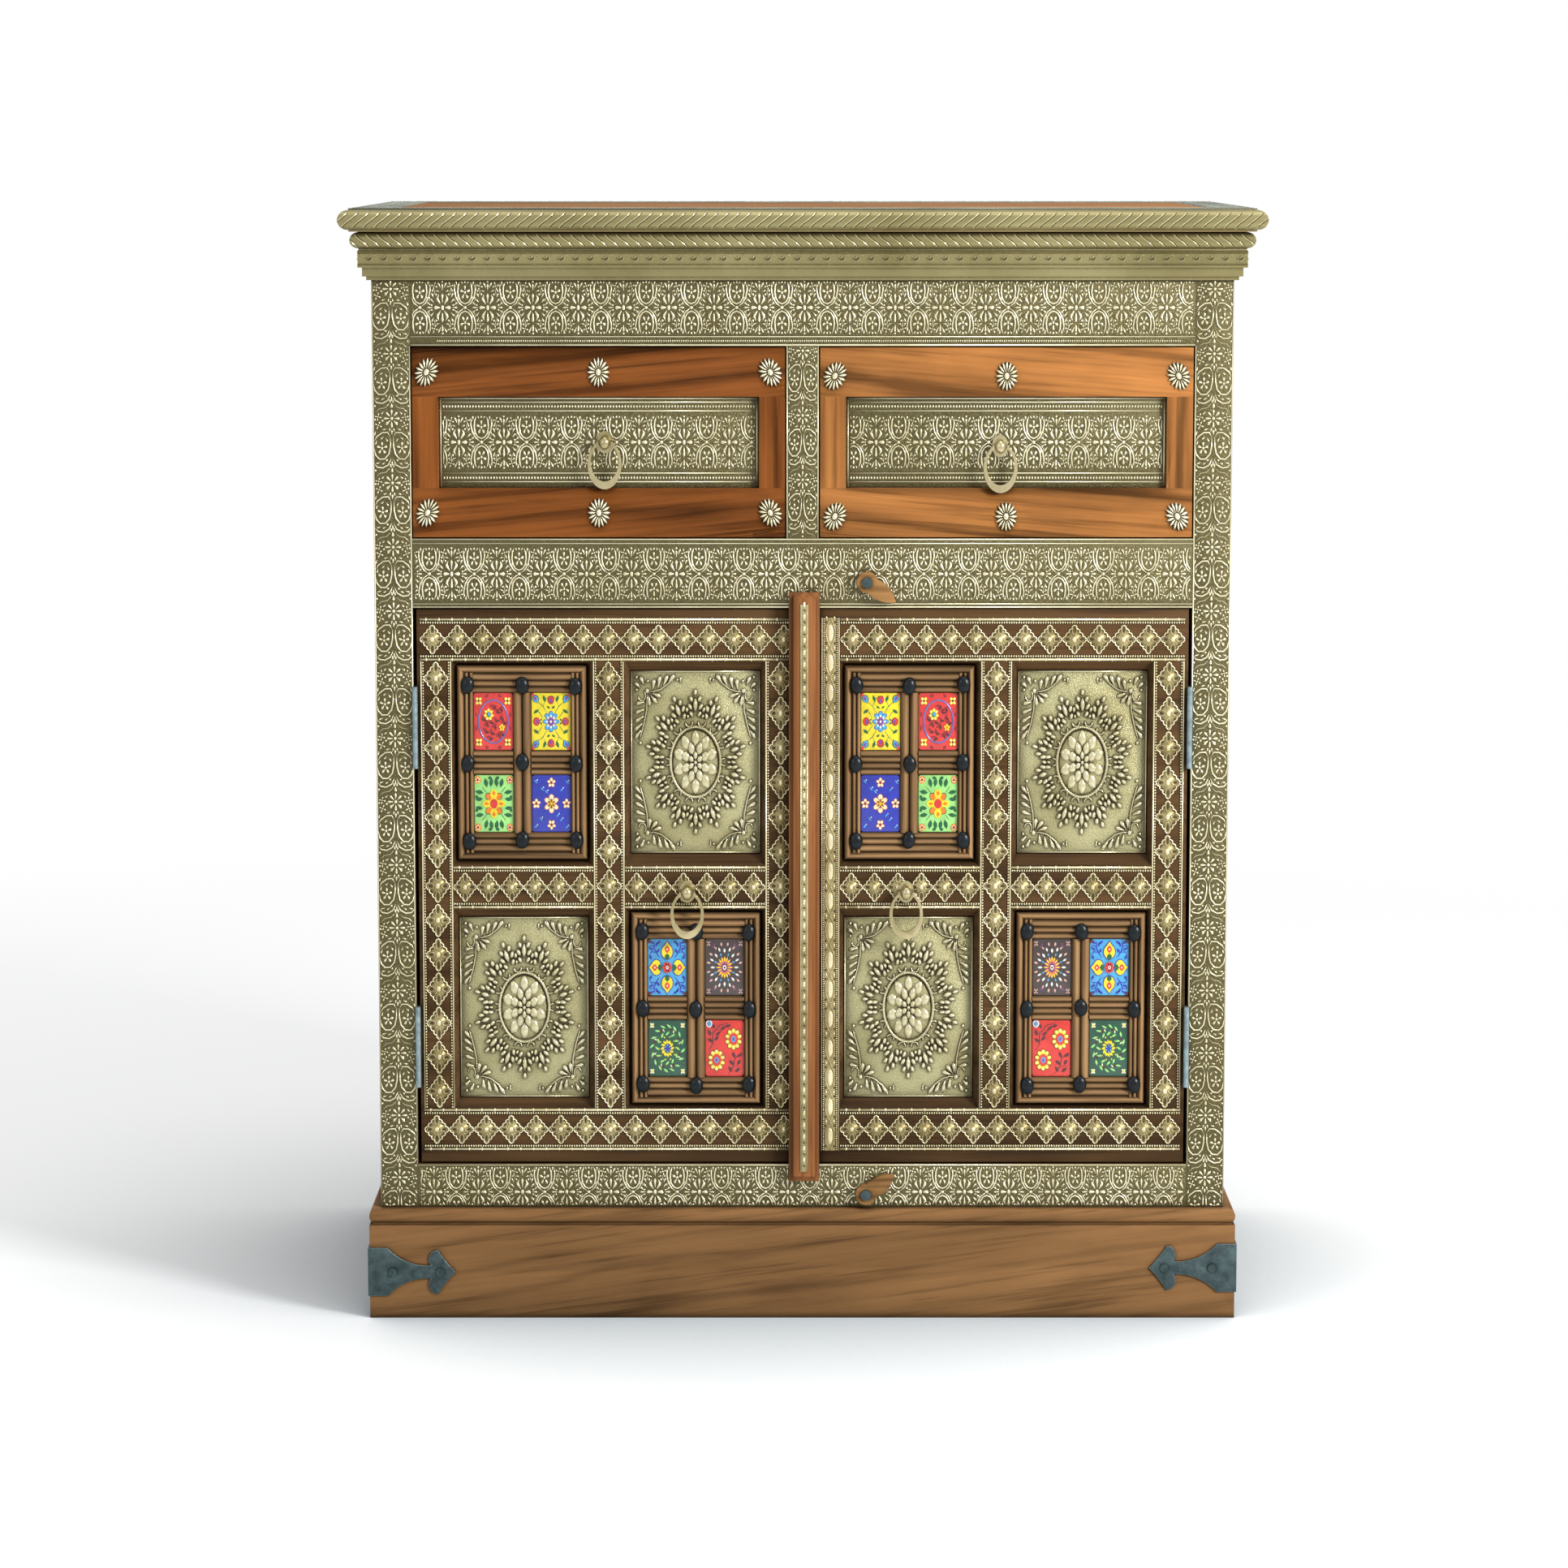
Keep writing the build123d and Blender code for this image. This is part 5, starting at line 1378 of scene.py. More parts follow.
def tile_yellow(bm):
    for signs in QUARTERS:
        stroke(bm, "leaf green", [(3.2, 7.0), (6.4, 12.4), (9.6, 15.4)], 0.7, signs)
        stroke(bm, "leaf green", [(6.4, 12.4), (4.4, 17.6), (1.6, 20.6)], 0.6, signs)
        stroke(bm, "leaf green", [(6.2, 2.6), (9.4, 7.6), (13.4, 9.4)], 0.6, signs)
        petals(bm, (
            ("leaf green", 11.8, 8.2, 1.15, 2.7, 0.9, 1), ("leaf green", 5.2, 18.6, 1.1, 2.9, -0.3, 1),
            ("leaf green", 2.0, 11.6, 0.8, 1.5, -0.9, 1), ("leaf green", 8.0, 1.4, 0.6, 1.3, 0.6, 1),
            ("leaf green", 12.3, 18.6, 2.7, 4.3, -0.5, 1), ("pale blue", 12.3, 18.4, 2.1, 3.6, -0.5, 2),
            ("purple", 12.6, 18.8, 1.1, 2.3, -0.5, 3), ("red", 14.6, 21.8, 1.2, 1.9, -0.5, 4),
        ), signs)
    for u, v in ((0, 17.6), (0, -17.6), (11.6, 0), (-11.6, 0)):
        dabs(bm, u, v, (("deep red", 2.7, 3.5), ("red", 2.1, 2.8)), 1)
        dab(bm, "purple", u * 0.96, v * 0.96, 1.3, 1.8, 0, 3)
    flower(bm, 0, 0, (
        ("blue", 8, 4.3, 6.2, 1.9, 2.5, 1), ("pale blue", 8, 4.2, 6.0, 1.6, 2.2, 2),
        ("white", 8, 3.1, 4.5, 0.8, 1.1, 3),
    ))
    dab(bm, "purple", 0, 0, 2.5, 3.4, 0, 4, 12)
    dab(bm, "white", 0, 0, 0.8, 1.1, 0, 5)


def tile_pale_green(bm):
    for signs in QUARTERS:
        side_u, side_v = signs
        petals(bm, (
            ("leaf green", 2.1, 17.4, 1.55, 3.9, 0.12, 0), ("leaf green", 6.3, 17.0, 1.6, 3.9, -0.2, 0),
            ("leaf green", 11.6, 9.4, 1.7, 3.5, -1.35, 0), ("leaf green", 11.8, 3.6, 1.6, 3.1, -1.7, 0),
        ), signs)
        stroke(bm, "leaf green", [(6.0, 9.0), (9.4, 13.6)], 1.1, signs)
        dab(bm, "leaf green", side_u * 3.1, side_v * 21.0, 1.3, 1.3, 0, 1)
        dab(bm, "leaf green", side_u * 13.8, side_v * 5.4, 1.1, 1.4, 0, 1)
        u, v = side_u * 12.9, side_v * 19.4
        dab(bm, "orange", u, v, 2.6, 3.2, 0, 1)
        flower(bm, u, v, (("cream", 5, 1.2, 1.6, 0.6, 0.8, 2),))
        dab(bm, "deep red", u, v, 0.9, 1.2, 0, 3)
    flower(bm, 0, 0, (
        ("leaf green", 8, 5.2, 7.6, 2.9, 3.9, 1), ("orange", 4, 5.4, 7.8, 2.4, 3.1, 2, 45.0),
        ("yellow", 4, 5.3, 7.8, 3.0, 4.0, 3),
    ))
    ring_of(bm, petal, "orange", 4, 0, 0, 5.8, 8.6, 1.3, 1.9, 4)
    dab(bm, "yellow", 0, 0, 3.9, 5.0, 0, 4, 14)
    dab(bm, "red", 0, 0, 3.1, 4.0, 0, 5, 14)


def tile_blue(bm):
    flower(bm, 0, 0, (("orange", 6, 3.6, 5.0, 2.2, 2.9, 1), ("cream", 6, 3.7, 5.2, 1.75, 2.3, 2)))
    dab(bm, "yellow", 0, 0, 2.6, 3.4, 0, 3)
    ring_of(bm, petal, "deep red", 6, 0, 0, 1.9, 2.6, 0.7, 1.6, 4)
    for u, v in ((0, 17.2), (0, -17.2), (12.2, 0), (-12.2, 0)):
        start = 90 if v >= 0 else 270
        flower(bm, u, v, (("orange", 5, 1.8, 2.4, 1.35, 1.8, 1, start), ("cream", 5, 1.9, 2.5, 1.0, 1.35, 2, start)))
        dab(bm, "deep red", u, v, 1.0, 1.3, 0, 3)
    for k, (u, v) in enumerate((
        (-7.5, 12), (8.5, 11.5), (-8.5, -12.5), (8, -13), (-12.5, 18), (12.5, -19), (13, 17.5), (-12.5, -18.5),
        (-4, 9.6), (5, -9.6),
    )):
        petal(bm, "pale blue", u, v, 0.55, 1.9, 0.7 * (-1) ** k)
        dab(bm, "white", u + 1.1, v + 1.3, 0.45, 0.6)


def tile_sky(bm):
    for signs in QUARTERS:
        for points in (
            [(6.2, 8.0), (9.2, 12.4), (10.9, 17.0), (10.2, 21.4)], [(9.2, 12.4), (12.8, 12.8), (14.4, 10.0)],
            [(10.9, 17.0), (13.8, 18.0), (14.8, 15.6)],
        ):
            stroke(bm, "blue", points, 1.2, signs)
        sprigs = (
            (13.4, 8.4, -0.4), (7.4, 13.6, 0.5), (12.8, 15.2, -1.0), (8.6, 18.8, 0.4), (12.6, 20.6, -0.9),
            (6.8, 20.6, 0.9),
        )
        petals(bm, [("blue", u, v, 0.95, 2.1, turn, 2) for u, v, turn in sprigs], signs)
        dab(bm, "wine", signs[0] * 14.6, signs[1] * 21.8, 1.5, 1.9, 0, 3)
    for u, v, half_u, half_v, turn in (
        (0, 13.4, 4.6, 7.6, 0), (0, -13.4, 4.6, 7.6, 0),
        (9.0, 0, 6.4, 5.2, math.pi / 2), (-9.0, 0, 6.4, 5.2, math.pi / 2),
    ):
        petal(bm, "blue", u * 1.14, v * 1.1, half_u * 0.9, half_v * 0.96, turn, 2)
        dab(bm, "blue", u * 0.98, v * 0.96, half_u + 0.5, half_v * 0.86, turn, 3, 16)
        petal(bm, "yellow", u * 1.14, v * 1.1, half_u * 0.72, half_v * 0.84, turn, 4)
        dab(bm, "yellow", u * 0.98, v * 0.96, half_u - 0.1, half_v * 0.76, turn, 5, 16)
        petal(bm, "leaf green", u * 0.66, v * 0.66, half_u * 0.42, half_v * 0.36, turn, 6)
        petal(bm, "red", u * 1.12, v * 1.12, half_u * 0.42, half_v * 0.42, turn, 6)
        dab(bm, "cream", u * 1.12, v * 1.12, 0.65, 0.9, 0, 7)
    ring_of(bm, dab, "red", 8, 0, 0, 2.2, 3.0, 1.3, 1.8, 7)
    dabs(bm, 0, 0, (("white", 1.2, 1.6), ("red", 0.6, 0.8)), 8)


def tile_night(bm):
    dab(bm, "purple", 0, 0, 5.6, 8.0, 0, 0, 18)
    ring_of(bm, petal, "orange", 16, 0, 0, 4.4, 6.4, 0.75, 2.8, 1)
    ring_of(bm, petal, "yellow", 16, 0, 0, 4.8, 7.0, 0.45, 2.1, 2)
    dab(bm, "wine", 0, 0, 2.0, 2.8, 0, 3, 14)
    dab(bm, "white", 0, 0, 1.5, 2.1, 0, 4, 12)
    dab(bm, "wine", 0, 0, 0.7, 1.0, 0, 5)
    ring_of(bm, petal, "pale blue", 8, 0, 0, 7.8, 11.2, 0.6, 1.4, 0, 67.5)
    ring_of(bm, petal, "white", 8, 0, 0, 9.6, 13.8, 0.85, 2.0, 1)
    ring_of(bm, petal, "white", 8, 0, 0, 11.0, 15.8, 0.75, 1.8, 1, 67.5)
    ring_of(bm, petal, "pink", 16, 0, 0, 13.2, 19.4, 0.8, 1.7, 0, 101.25)
    for side_u, side_v in QUARTERS:
        ring_of(bm, petal, "pink", 4, side_u * 12.9, side_v * 19.6, 1.1, 1.5, 0.45, 1.2, 1, 45)
        ring_of(bm, dab, "purple", 3, side_u * 8.2, side_v * 17.6, 1.1, 1.4, 0.5, 0.7, 0)


def tile_dark_green(bm):
    dab(bm, "leaf green", 0, 0, 5.0, 6.8, 0, 0, 16)
    ring_of(bm, petal, "yellow", 12, 0, 0, 3.9, 5.4, 1.0, 1.9, 1, 90.0, 0.5)
    dab(bm, "blue", 0, 0, 2.6, 3.5, 0, 2, 14)
    ring_of(bm, dab, "pale green", 6, 0, 0, 1.9, 2.6, 0.4, 0.55, 3)
    ring_of(bm, petal, "leaf green", 12, 0, 0, 9.6, 13.8, 1.4, 2.7, 0, 80.0, 0.8)
    ring_of(bm, petal, "pale green", 12, 0, 0, 8.4, 12.2, 0.8, 2.2, 1, 90.0, -0.7)
    ring_of(bm, petal, "pale green", 16, 0, 0, 12.6, 18.4, 0.8, 2.5, 1, 84.0, 0.9)
    ring_of(bm, petal, "cream", 8, 0, 0, 10.6, 15.4, 0.5, 1.6, 1, 62.0, 0.3)
    flower(bm, 0, 0, (("wine", 8, 10.8, 16.0, 1.0, 1.2, 1, 73.0), ("yellow", 10, 6.9, 9.6, 0.5, 0.7, 1, 75.0)))
    for side_u, side_v in QUARTERS:
        flower(bm, side_u * 12.4, side_v * 19.0, (("cream", 4, 1.1, 1.4, 0.8, 1.0, 1, 45),))
        dab(bm, "yellow", side_u * 12.4, side_v * 19.0, 0.6, 0.8, 0, 2)


def tile_two_flowers(bm):
    for points in (
        [(-13, -2), (-9.5, 4), (-9.8, 12), (-4, 19), (3, 21)], [(-9.8, 12), (-13.4, 17)], [(-6.6, 16), (-2, 13.6)],
        [(3, -21), (7, -15), (8.6, -8), (13.6, -3)], [(7, -15), (13, -14.4)], [(7, -15), (3.2, -10.6)],
    ):
        stroke(bm, "wine", points, 0.85)
    sprigs = (
        (-11.6, 6.6, 0.9), (-6.6, 8.2, -0.7), (-12.4, 12.8, 0.4), (-5.4, 12.2, -0.9), (-9.4, 18.6, 0.6),
        (-1.4, 16.6, -0.8), (2.6, 18.6, -1.3), (10.6, -17.8, -0.8), (4.6, -17.2, 0.5), (11.6, -11.4, -0.5),
        (5.6, -11.8, 0.7), (12.4, -5.6, -1.0), (7.4, -5.4, 0.3),
    )
    petals(bm, [("wine", u, v, 1.25, 2.7, turn, 1) for u, v, turn in sprigs])
    for u, v in ((7.2, 7.8), (-6.6, -9.6)):
        flower(bm, u, v, (
            ("wine", 10, 5.0, 6.8, 1.9, 2.4, 2), ("yellow", 10, 4.9, 6.7, 1.6, 2.05, 3),
            ("cream", 10, 5.2, 7.1, 0.75, 1.0, 4),
        ))
        dab(bm, "red", u, v, 3.7, 5.0, 0, 5, 14)
        dabs(bm, u, v, (("pale blue", 1.9, 2.6), ("purple", 1.0, 1.5)), 6)
    dabs(bm, -12.6, 20.4, (("white", 2.6, 3.1), ("pale blue", 1.9, 2.3), ("red", 0.7, 0.9)), 2)


# Ground colour and painting of each design
TILE_DESIGNS = {
    "red_ring": ("red", tile_red_ring), "yellow": ("yellow", tile_yellow),
    "pale_green": ("pale green", tile_pale_green), "blue": ("blue", tile_blue), "sky": ("pale blue", tile_sky),
    "night": ("night brown", tile_night), "dark_green": ("dark green", tile_dark_green),
    "two_flowers": ("red", tile_two_flowers),
}
# Upper left, upper right, lower left and lower right tile of each door's upper and lower panel
TILE_PLACES = {
    "left": (("red_ring", "yellow", "pale_green", "blue"), ("sky", "night", "dark_green", "two_flowers")),
    "right": (("yellow", "red_ring", "blue", "pale_green"), ("night", "sky", "two_flowers", "dark_green")),
}


def make_tile(name, ground, draw):
    """One tile: its painting and its body with rounded corners and front edges."""
    bm = bmesh.new()
    draw(bm)
    clip(bm, (0.4 - TILE_HALF_U, TILE_HALF_U - 0.4), (0.4 - TILE_HALF_V, TILE_HALF_V - 0.4))
    body = bmesh.new()
    bmesh.ops.create_cube(body, size=1.0)
    bmesh.ops.transform(body, matrix=at(0, 0, -2.45, 0, (31.7, 46.5, 4.9)), verts=body.verts)
    ease(body, [e for e in body.edges if abs(e.verts[0].co.z - e.verts[1].co.z) > 1], 2.2, 3)
    ease(body, [e for e in body.edges if all(v.co.z > -0.1 for v in e.verts)], 0.7)
    join(bm, body, material=GLAZE_ORDER.index(ground))
    keep_shape("tile_" + name, bm)


def make_tiles():
    """Painted tiles with traditional flower patterns, four in a frame."""
    for name, (ground, draw) in TILE_DESIGNS.items():
        make_tile(name, ground, draw)
    for name, side in SIDES:
        bm = bmesh.new()
        for (u, v), designs in zip(panels(side, tiled=True), TILE_PLACES[name]):
            for k, design in enumerate(designs):
                du, dv = (-1 if k % 2 == 0 else 1) * TILE_U, (1 if k < 2 else -1) * TILE_V
                lay(bm, "tile_" + design, front(TILE_Y, x=u + du, z=v + dv))
        piece(
            f"{name}_door_painted_tiles", bm, f"{name}_door", tuple("glaze " + colour for colour in GLAZES),
            (f"{name}_door_tiles",), sharp=40,
        )


# ------------------------------------------------------------------ drawers, pulls and the other fittings
def make_rosettes():
    """Six flower-headed nails to a drawer, sixteen petals round a small heart."""
    bm = bmesh.new()
    petal_count, reach = 16, 0.62
    # A flat disc in painted-shadow brass shows as dark gaps between the petals.
    lay(bm, "boss", at(0, 0, 0, 0, (8.1, 10.9, 0.9)), 1)
    for k in range(petal_count):
        a = TURN * k / petal_count + math.pi / 2
        local = at(reach * math.cos(a), reach * math.sin(a), 0, a + math.pi / 2, (0.105, 0.38, 1))
        lay(bm, "petal", at(0, 0, 0.2, 0, (9.0, 12.0, 2.3)) @ local)
    lay(bm, "boss", at(0, 0, 0.5, 0, (2.3, 3.1, 2.2)))
    lay(bm, "bud", at(0, 0, 2.3, 0, (0.9, 1.2, 0.9)))
    keep_shape("rosette", bm)
    for name, side in SIDES:
        drop = 3.0 if side > 0 else 0.0
        bm = bmesh.new()
        for column in (-137, 0, 137):
            for z in (657.125, 769.375):
                place = front(FRAME_Y, x=side * DRAWER_CENTRE + column, z=z - drop)
                lay(bm, "rosette", place @ Matrix.Rotation(column * 0.003, 4, "Z"))
        piece(
            f"{name}_drawer_flower_nails", bm, f"{name}_drawer", ("petal brass", "brass shadow"),
            (f"{name}_drawer_rosettes",),
        )


WOOD_PIECES = (
    # node, new name, body, finish, slot, easing in mm
    ("plinth_front", "plinth_front_board", "cabinet", "plinth wood", "light_wood", 0.7),
    ("plinth_sides", "plinth_side_boards", "cabinet", "plinth side wood", "light_wood", 0.7),
    ("top_panel", "top_board", "cabinet", "top wood", "light_wood", 0.8),
    ("left_side_panel", "left_side_board", "cabinet", "side wood", "light_wood", 0.8),
    ("right_side_panel", "right_side_board", "cabinet", "side wood", "light_wood", 0.8),
    ("back_panel", "back_board", "cabinet", "back wood", "plain_wood", 0.8),
    ("left_drawer_front", "left_drawer_face", "left_drawer", "left drawer wood", "light_wood", 0.8),
    ("right_drawer_front", "right_drawer_face", "right_drawer", "right drawer wood", "light_wood", 0.8),
    ("left_door_frame", "left_door_wood", "left_door", "door wood", "dark_wood", 0.6),
    ("right_door_frame", "right_door_wood", "right_door", "door wood", "dark_wood", 0.6),
    ("astragal", "meeting_strip_wood", "right_door", "astragal wood", "dark_wood", 0.5),
    ("upper_turn_button", "upper_button_wood", "upper_turn_button", "button wood", "light_wood", 0.7),
    ("lower_turn_button", "lower_button_wood", "lower_turn_button", "button wood", "light_wood", 0.7),
)

# Frame nodes that keep their own mesh, by finish
FINISHES = {
    "back wood": ("plinth_back",),
    "inner wood": (
        "floor_board", "shelf", "face_stiles", "top_rail", "mid_rail", "bottom_rail", "drawer_divider",
        "drawer_runners", "left_drawer_box", "right_drawer_box",
    ),
    "hinge steel": ("frame_hinge_leaves", "left_door_hinge_leaves", "right_door_hinge_leaves", "hinge_pins"),
    "bright brass": ("left_door_knob", "right_door_knob", "left_drawer_knob", "right_drawer_knob"),
    "iron": ("screws",),
}


def second_finish(made, chosen):
    """Give the second finish to the faces that are chosen."""
    for face in made.data.polygons:
        if chosen(face):
            face.material_index = 1


def on_drawer_stile(face):
    """A face between the two joints that cross a drawer front."""
    low, high = DRAWER_JOINTS
    return low + 0.25 <= face.center.z / MM <= high - 0.25


def on_top_edge(face):
    """A face of the top board's front and side edges."""
    return abs(face.normal.z) < 0.9 and face.center.y < 0.2


def make_wood():
    """The wood boards with their edges eased, and the finish of the pieces that stay as they are."""
    for node, name, body, finish, slot, easing in WOOD_PIECES:
        if "drawer_front" in node:
            made = dressed(node, name, body, (finish, finish + " upright"), easing, cuts=DRAWER_JOINTS)
            second_finish(made, on_drawer_stile)
        elif node == "top_panel":
            second_finish(dressed(node, name, body, (finish, "cornice brass"), easing), on_top_edge)
        else:
            dressed(node, name, body, (finish,), easing)
    for finish, nodes in FINISHES.items():
        for node in nodes:
            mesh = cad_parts[node].data
            mesh.materials.clear()
            mesh.materials.append(materials[finish])


def make_core():
    """The cornice's lip and fillets, folded in brass, the iron straps and the pull rings."""
    dressed("cornice_core", "cornice_fillets", "cabinet", ("cornice brass",), 0.5)
    straps = dressed("corner_straps", "corner_iron", "cabinet", ("iron", "worn iron"), 0.6)
    # The eased edges of the straps take a lighter finish: edge wear and a painted highlight.
    second_finish(straps, lambda face: 0.2 < abs(face.normal.y) < 0.95)
    for name in ("left_door", "right_door", "left_drawer", "right_drawer"):
        dressed(name + "_ring", name + "_pull_ring", name + "_ring", ("bright brass",), 1.2, segments=3)


def make_astragal_strip():
    """The narrow brass strip down the meeting strip, with a line of small eyes."""
    bm = bmesh.new()
    low, high, eye_u, eye_pitch = 122.2, 584.6, 1.4, 9.7
    slab(bm, (-1.75, 4.55), (low, high), (0.0, 0.4), edge=0.1, material=1)
    for u in (-1.2, 4.0):
        rim(bm, (u, low), (u, high), 0.9, 0.95)
    for v in middles(low, high, eye_pitch):
        line(bm, oval(eye_u, v, 1.5, 2.1, 10), 0.7, 0.55, h=0.35, closed=True)
        # A spot of wood in painted shade inside each eye.
        lay(bm, "bud", at(eye_u, v, 0.35, 0, (0.75, 1.0, 0.25)), 2)
        lay(bm, "round_bud", at(eye_u, v + eye_pitch / 2, 0.3, 0, (1.1, 2.4, 0.5)))
    place = front(MEETING_STRIP_Y)
    piece("meeting_strip_brass", bm, "right_door", STRIP_FINISH, ("astragal_strip",), matrix=place)


# ------------------------------------------------------------------ finishes
BRASSES = {
    # name: bright, dull, and dirt-and-shade colours, roughness, other settings
    "top brass": ((158, 162, 147), (124, 129, 118), (60, 62, 52), 0.48, {"metal": 0.5}),
    "pierced brass": ((236, 226, 188), (206, 194, 150), (70, 56, 34), 0.28, {"crease_dirt_and_shade": 0.0012}),
    "strip ground": ((176, 164, 116), (138, 122, 76), (56, 42, 22), 0.40, {"crease_dirt_and_shade": 0.0016}),
    "medallion brass": ((218, 211, 176), (188, 180, 140), (48, 40, 20), 0.24, {"crease_dirt_and_shade": 0.003, "cover": 0.97}),
    # The medallion ground: darker in its pits, with painted shade round tall relief and near the recess edges.
    "hammered brass": (
        (192, 187, 142), (168, 161, 116), (56, 47, 24), 0.46,
        {"stipple": 760.0, "crease_dirt_and_shade": 0.0042, "pit": 0.22, "cover": 1.0, "grime_and_shade": 0.011},
    ),
    "cornice brass": ((153, 144, 101), (130, 121, 79), (48, 40, 18), 0.30, {"crease_dirt_and_shade": 0.005, "wear_scale": 9}),
    "cut brass": ((224, 216, 172), (196, 186, 138), (90, 80, 46), 0.26, {"crease_dirt_and_shade": 0.001}),
    "brass shadow": ((58, 50, 24), (44, 37, 16), (30, 24, 10), 0.5, {}),
    "bright brass": ((196, 184, 144), (156, 144, 102), (58, 48, 26), 0.22, {"crease_dirt_and_shade": 0.004, "metal": 0.85}),
    "petal brass": ((246, 240, 214), (226, 216, 176), (70, 58, 32), 0.26, {"crease_dirt_and_shade": 0.0012}),
}


def shades(colour, low, high):
    """A dark, a middle and a light shade of a colour."""
    dark = tuple(channel * low for channel in colour[:3]) + (1.0,)
    light = tuple(min(1.0, channel * high) for channel in colour[:3]) + (1.0,)
    return dark, colour, light


def make_finishes(colours):
    """All node materials."""
    light, ground = tuple(colours.raised_brass), tuple(colours.brass_ground)
    # Soot, and painted shade in the creases, of the embossed sheets.
    soot_and_shade = srgb(44, 38, 18)
    brass("raised brass", light, tuple(colours.dull_brass), soot_and_shade, 0.30, wear_scale=16)
    brass("punched brass", ground, srgb(108, 99, 60), soot_and_shade, 0.42, stipple=900.0, crease_dirt_and_shade=0.0018, pit=0.5)
    for name, (bright, dull, dirt_and_shade, roughness, settings) in BRASSES.items():
        brass(name, srgb(*bright), srgb(*dull), srgb(*dirt_and_shade), roughness, **settings)

    drawer, plinth, door = tuple(colours.drawer_wood), tuple(colours.plinth_wood), tuple(colours.door_wood)
    pale = tuple(channel * k for channel, k in zip(drawer, (1.6, 2.05, 2.6))) + (1.0,)
    # name, middle colour, shares of the dark and the light shade, grain, figure, contrast, seed, other settings
    for name, colour, low, high, grain, figure, contrast, seed, settings in (
        ("left drawer wood", drawer, 0.42, 1.6, "X", 6.0, 1.3, 0.31, {"tilt": 0.10}),
        ("right drawer wood", pale, 0.45, 1.6, "X", 5.0, 1.3, 0.87, {"tilt": -0.08}),
        ("left drawer wood upright", drawer, 0.4, 1.7, "Z", 7.0, 1.3, 0.63, {}),
        ("right drawer wood upright", pale, 0.45, 1.6, "Z", 7.0, 1.3, 0.18, {}),
        ("plinth wood", plinth, 0.5, 1.45, "X", 6.0, 0.8, 0.12, {"gloss": 0.5, "tilt": 0.13, "run": 0.24}),
        ("plinth side wood", plinth, 0.5, 1.45, "Y", 6.0, 0.8, 0.45, {"gloss": 0.5, "tilt": 0.1, "run": 0.24}),
        ("top wood", srgb(181, 136, 98), 0.7, 1.3, "X", 4.0, 0.8, 0.77, {"gloss": 0.6, "specular": 0.0}),
        ("side wood", plinth, 0.6, 1.6, "Z", 4.0, 0.8, 0.22, {"gloss": 0.5}),
        ("back wood", srgb(134, 104, 72), 0.65, 1.35, "Z", 4.0, 0.6, 0.52, {"gloss": 0.6}),
        ("inner wood", srgb(150, 116, 78), 0.6, 1.4, "X", 5.0, 1.0, 0.62, {"gloss": 0.6}),
        ("door wood", door, 0.5, 1.9, "X", 5.0, 0.7, 0.35, {"gloss": 0.5}),
        ("astragal wood", srgb(136, 88, 52), 0.5, 1.7, "Z", 9.0, 1.0, 0.93, {}),
        ("button wood", srgb(146, 108, 66), 0.5, 1.6, "X", 16.0, 1.0, 0.53, {"gloss": 0.45}),
    ):
        wood(name, *shades(colour, low, high), grain, figure, contrast, seed=seed, **settings)
    # Reeded wood: painted shade in the grooves and a painted highlight on the crests of the reeds.
    for name, grain in (("reeded wood", "Z"), ("reeded wood level", "X")):
        wood(
            name, *shades(srgb(132, 103, 71), 0.5, 1.7), grain, 11.0, 0.8, gloss=0.5, seed=0.71, crease_shade=0.65,
            relief_shade_depths=(-0.1700, -0.1738),
        )
    for name, value in GLAZES.items():
        glaze("glaze " + name, srgb(*value))
    hard("pierced hollow", srgb(84, 68, 42), srgb(62, 48, 28), 0.0, 0.6, mottle=120)
    hard("black glaze", srgb(4, 10, 14), srgb(10, 20, 26), 0.0, 0.2, mottle=90, bumps=0.0, specular=0.26)
    hard("iron", srgb(78, 95, 97), srgb(56, 68, 70), 0.7, 0.42, mottle=110, bumps=0.5, distance=0.0006)
    hard("worn iron", srgb(140, 152, 152), srgb(98, 109, 111), 0.7, 0.4, mottle=140)
    hard("hinge steel", srgb(150, 170, 176), srgb(112, 128, 134), 0.6, 0.36, mottle=150, bumps=0.3)


# ------------------------------------------------------------------ stage
CAMERA_DISTANCE = 3.6
FLOOR_RADIUS = 9.0
WHITE = (1.0, 1.0, 1.0, 1.0)
LAMPS = (
    # name, place, what it points at, size, colour
    ("key", (2.1, -1.9, 1.5), (0, -0.1, 0.45), 0.7, (1.0, 0.985, 0.96)),
    ("fill", (-2.2, -2.9, 1.7), (0, -0.1, 0.45), 0.9, (0.94, 0.97, 1.0)),
    ("top", (0.3, -0.6, 3.2), (0, 0, 0.5), 1.8, (1.0, 1.0, 1.0)),
)


def stand(name, data):
    """A new object in the scene."""
    made = bpy.data.objects.new(name, data)
    bpy.context.scene.collection.objects.link(made)
    return made


def make_world(strength):
    """Even light from all round, seen as pure white."""
    world = bpy.data.worlds.new("Studio")
    world.use_nodes = True
    bpy.context.scene.world = world
    n = Nodes(world.node_tree)
    back = world.node_tree.nodes["Background"]
    n.feed(back.inputs["Strength"], n.spread(n.shows_backdrop(), 0.0, 1.0, strength, 1.0))
    n.feed(back.inputs["Color"], WHITE)


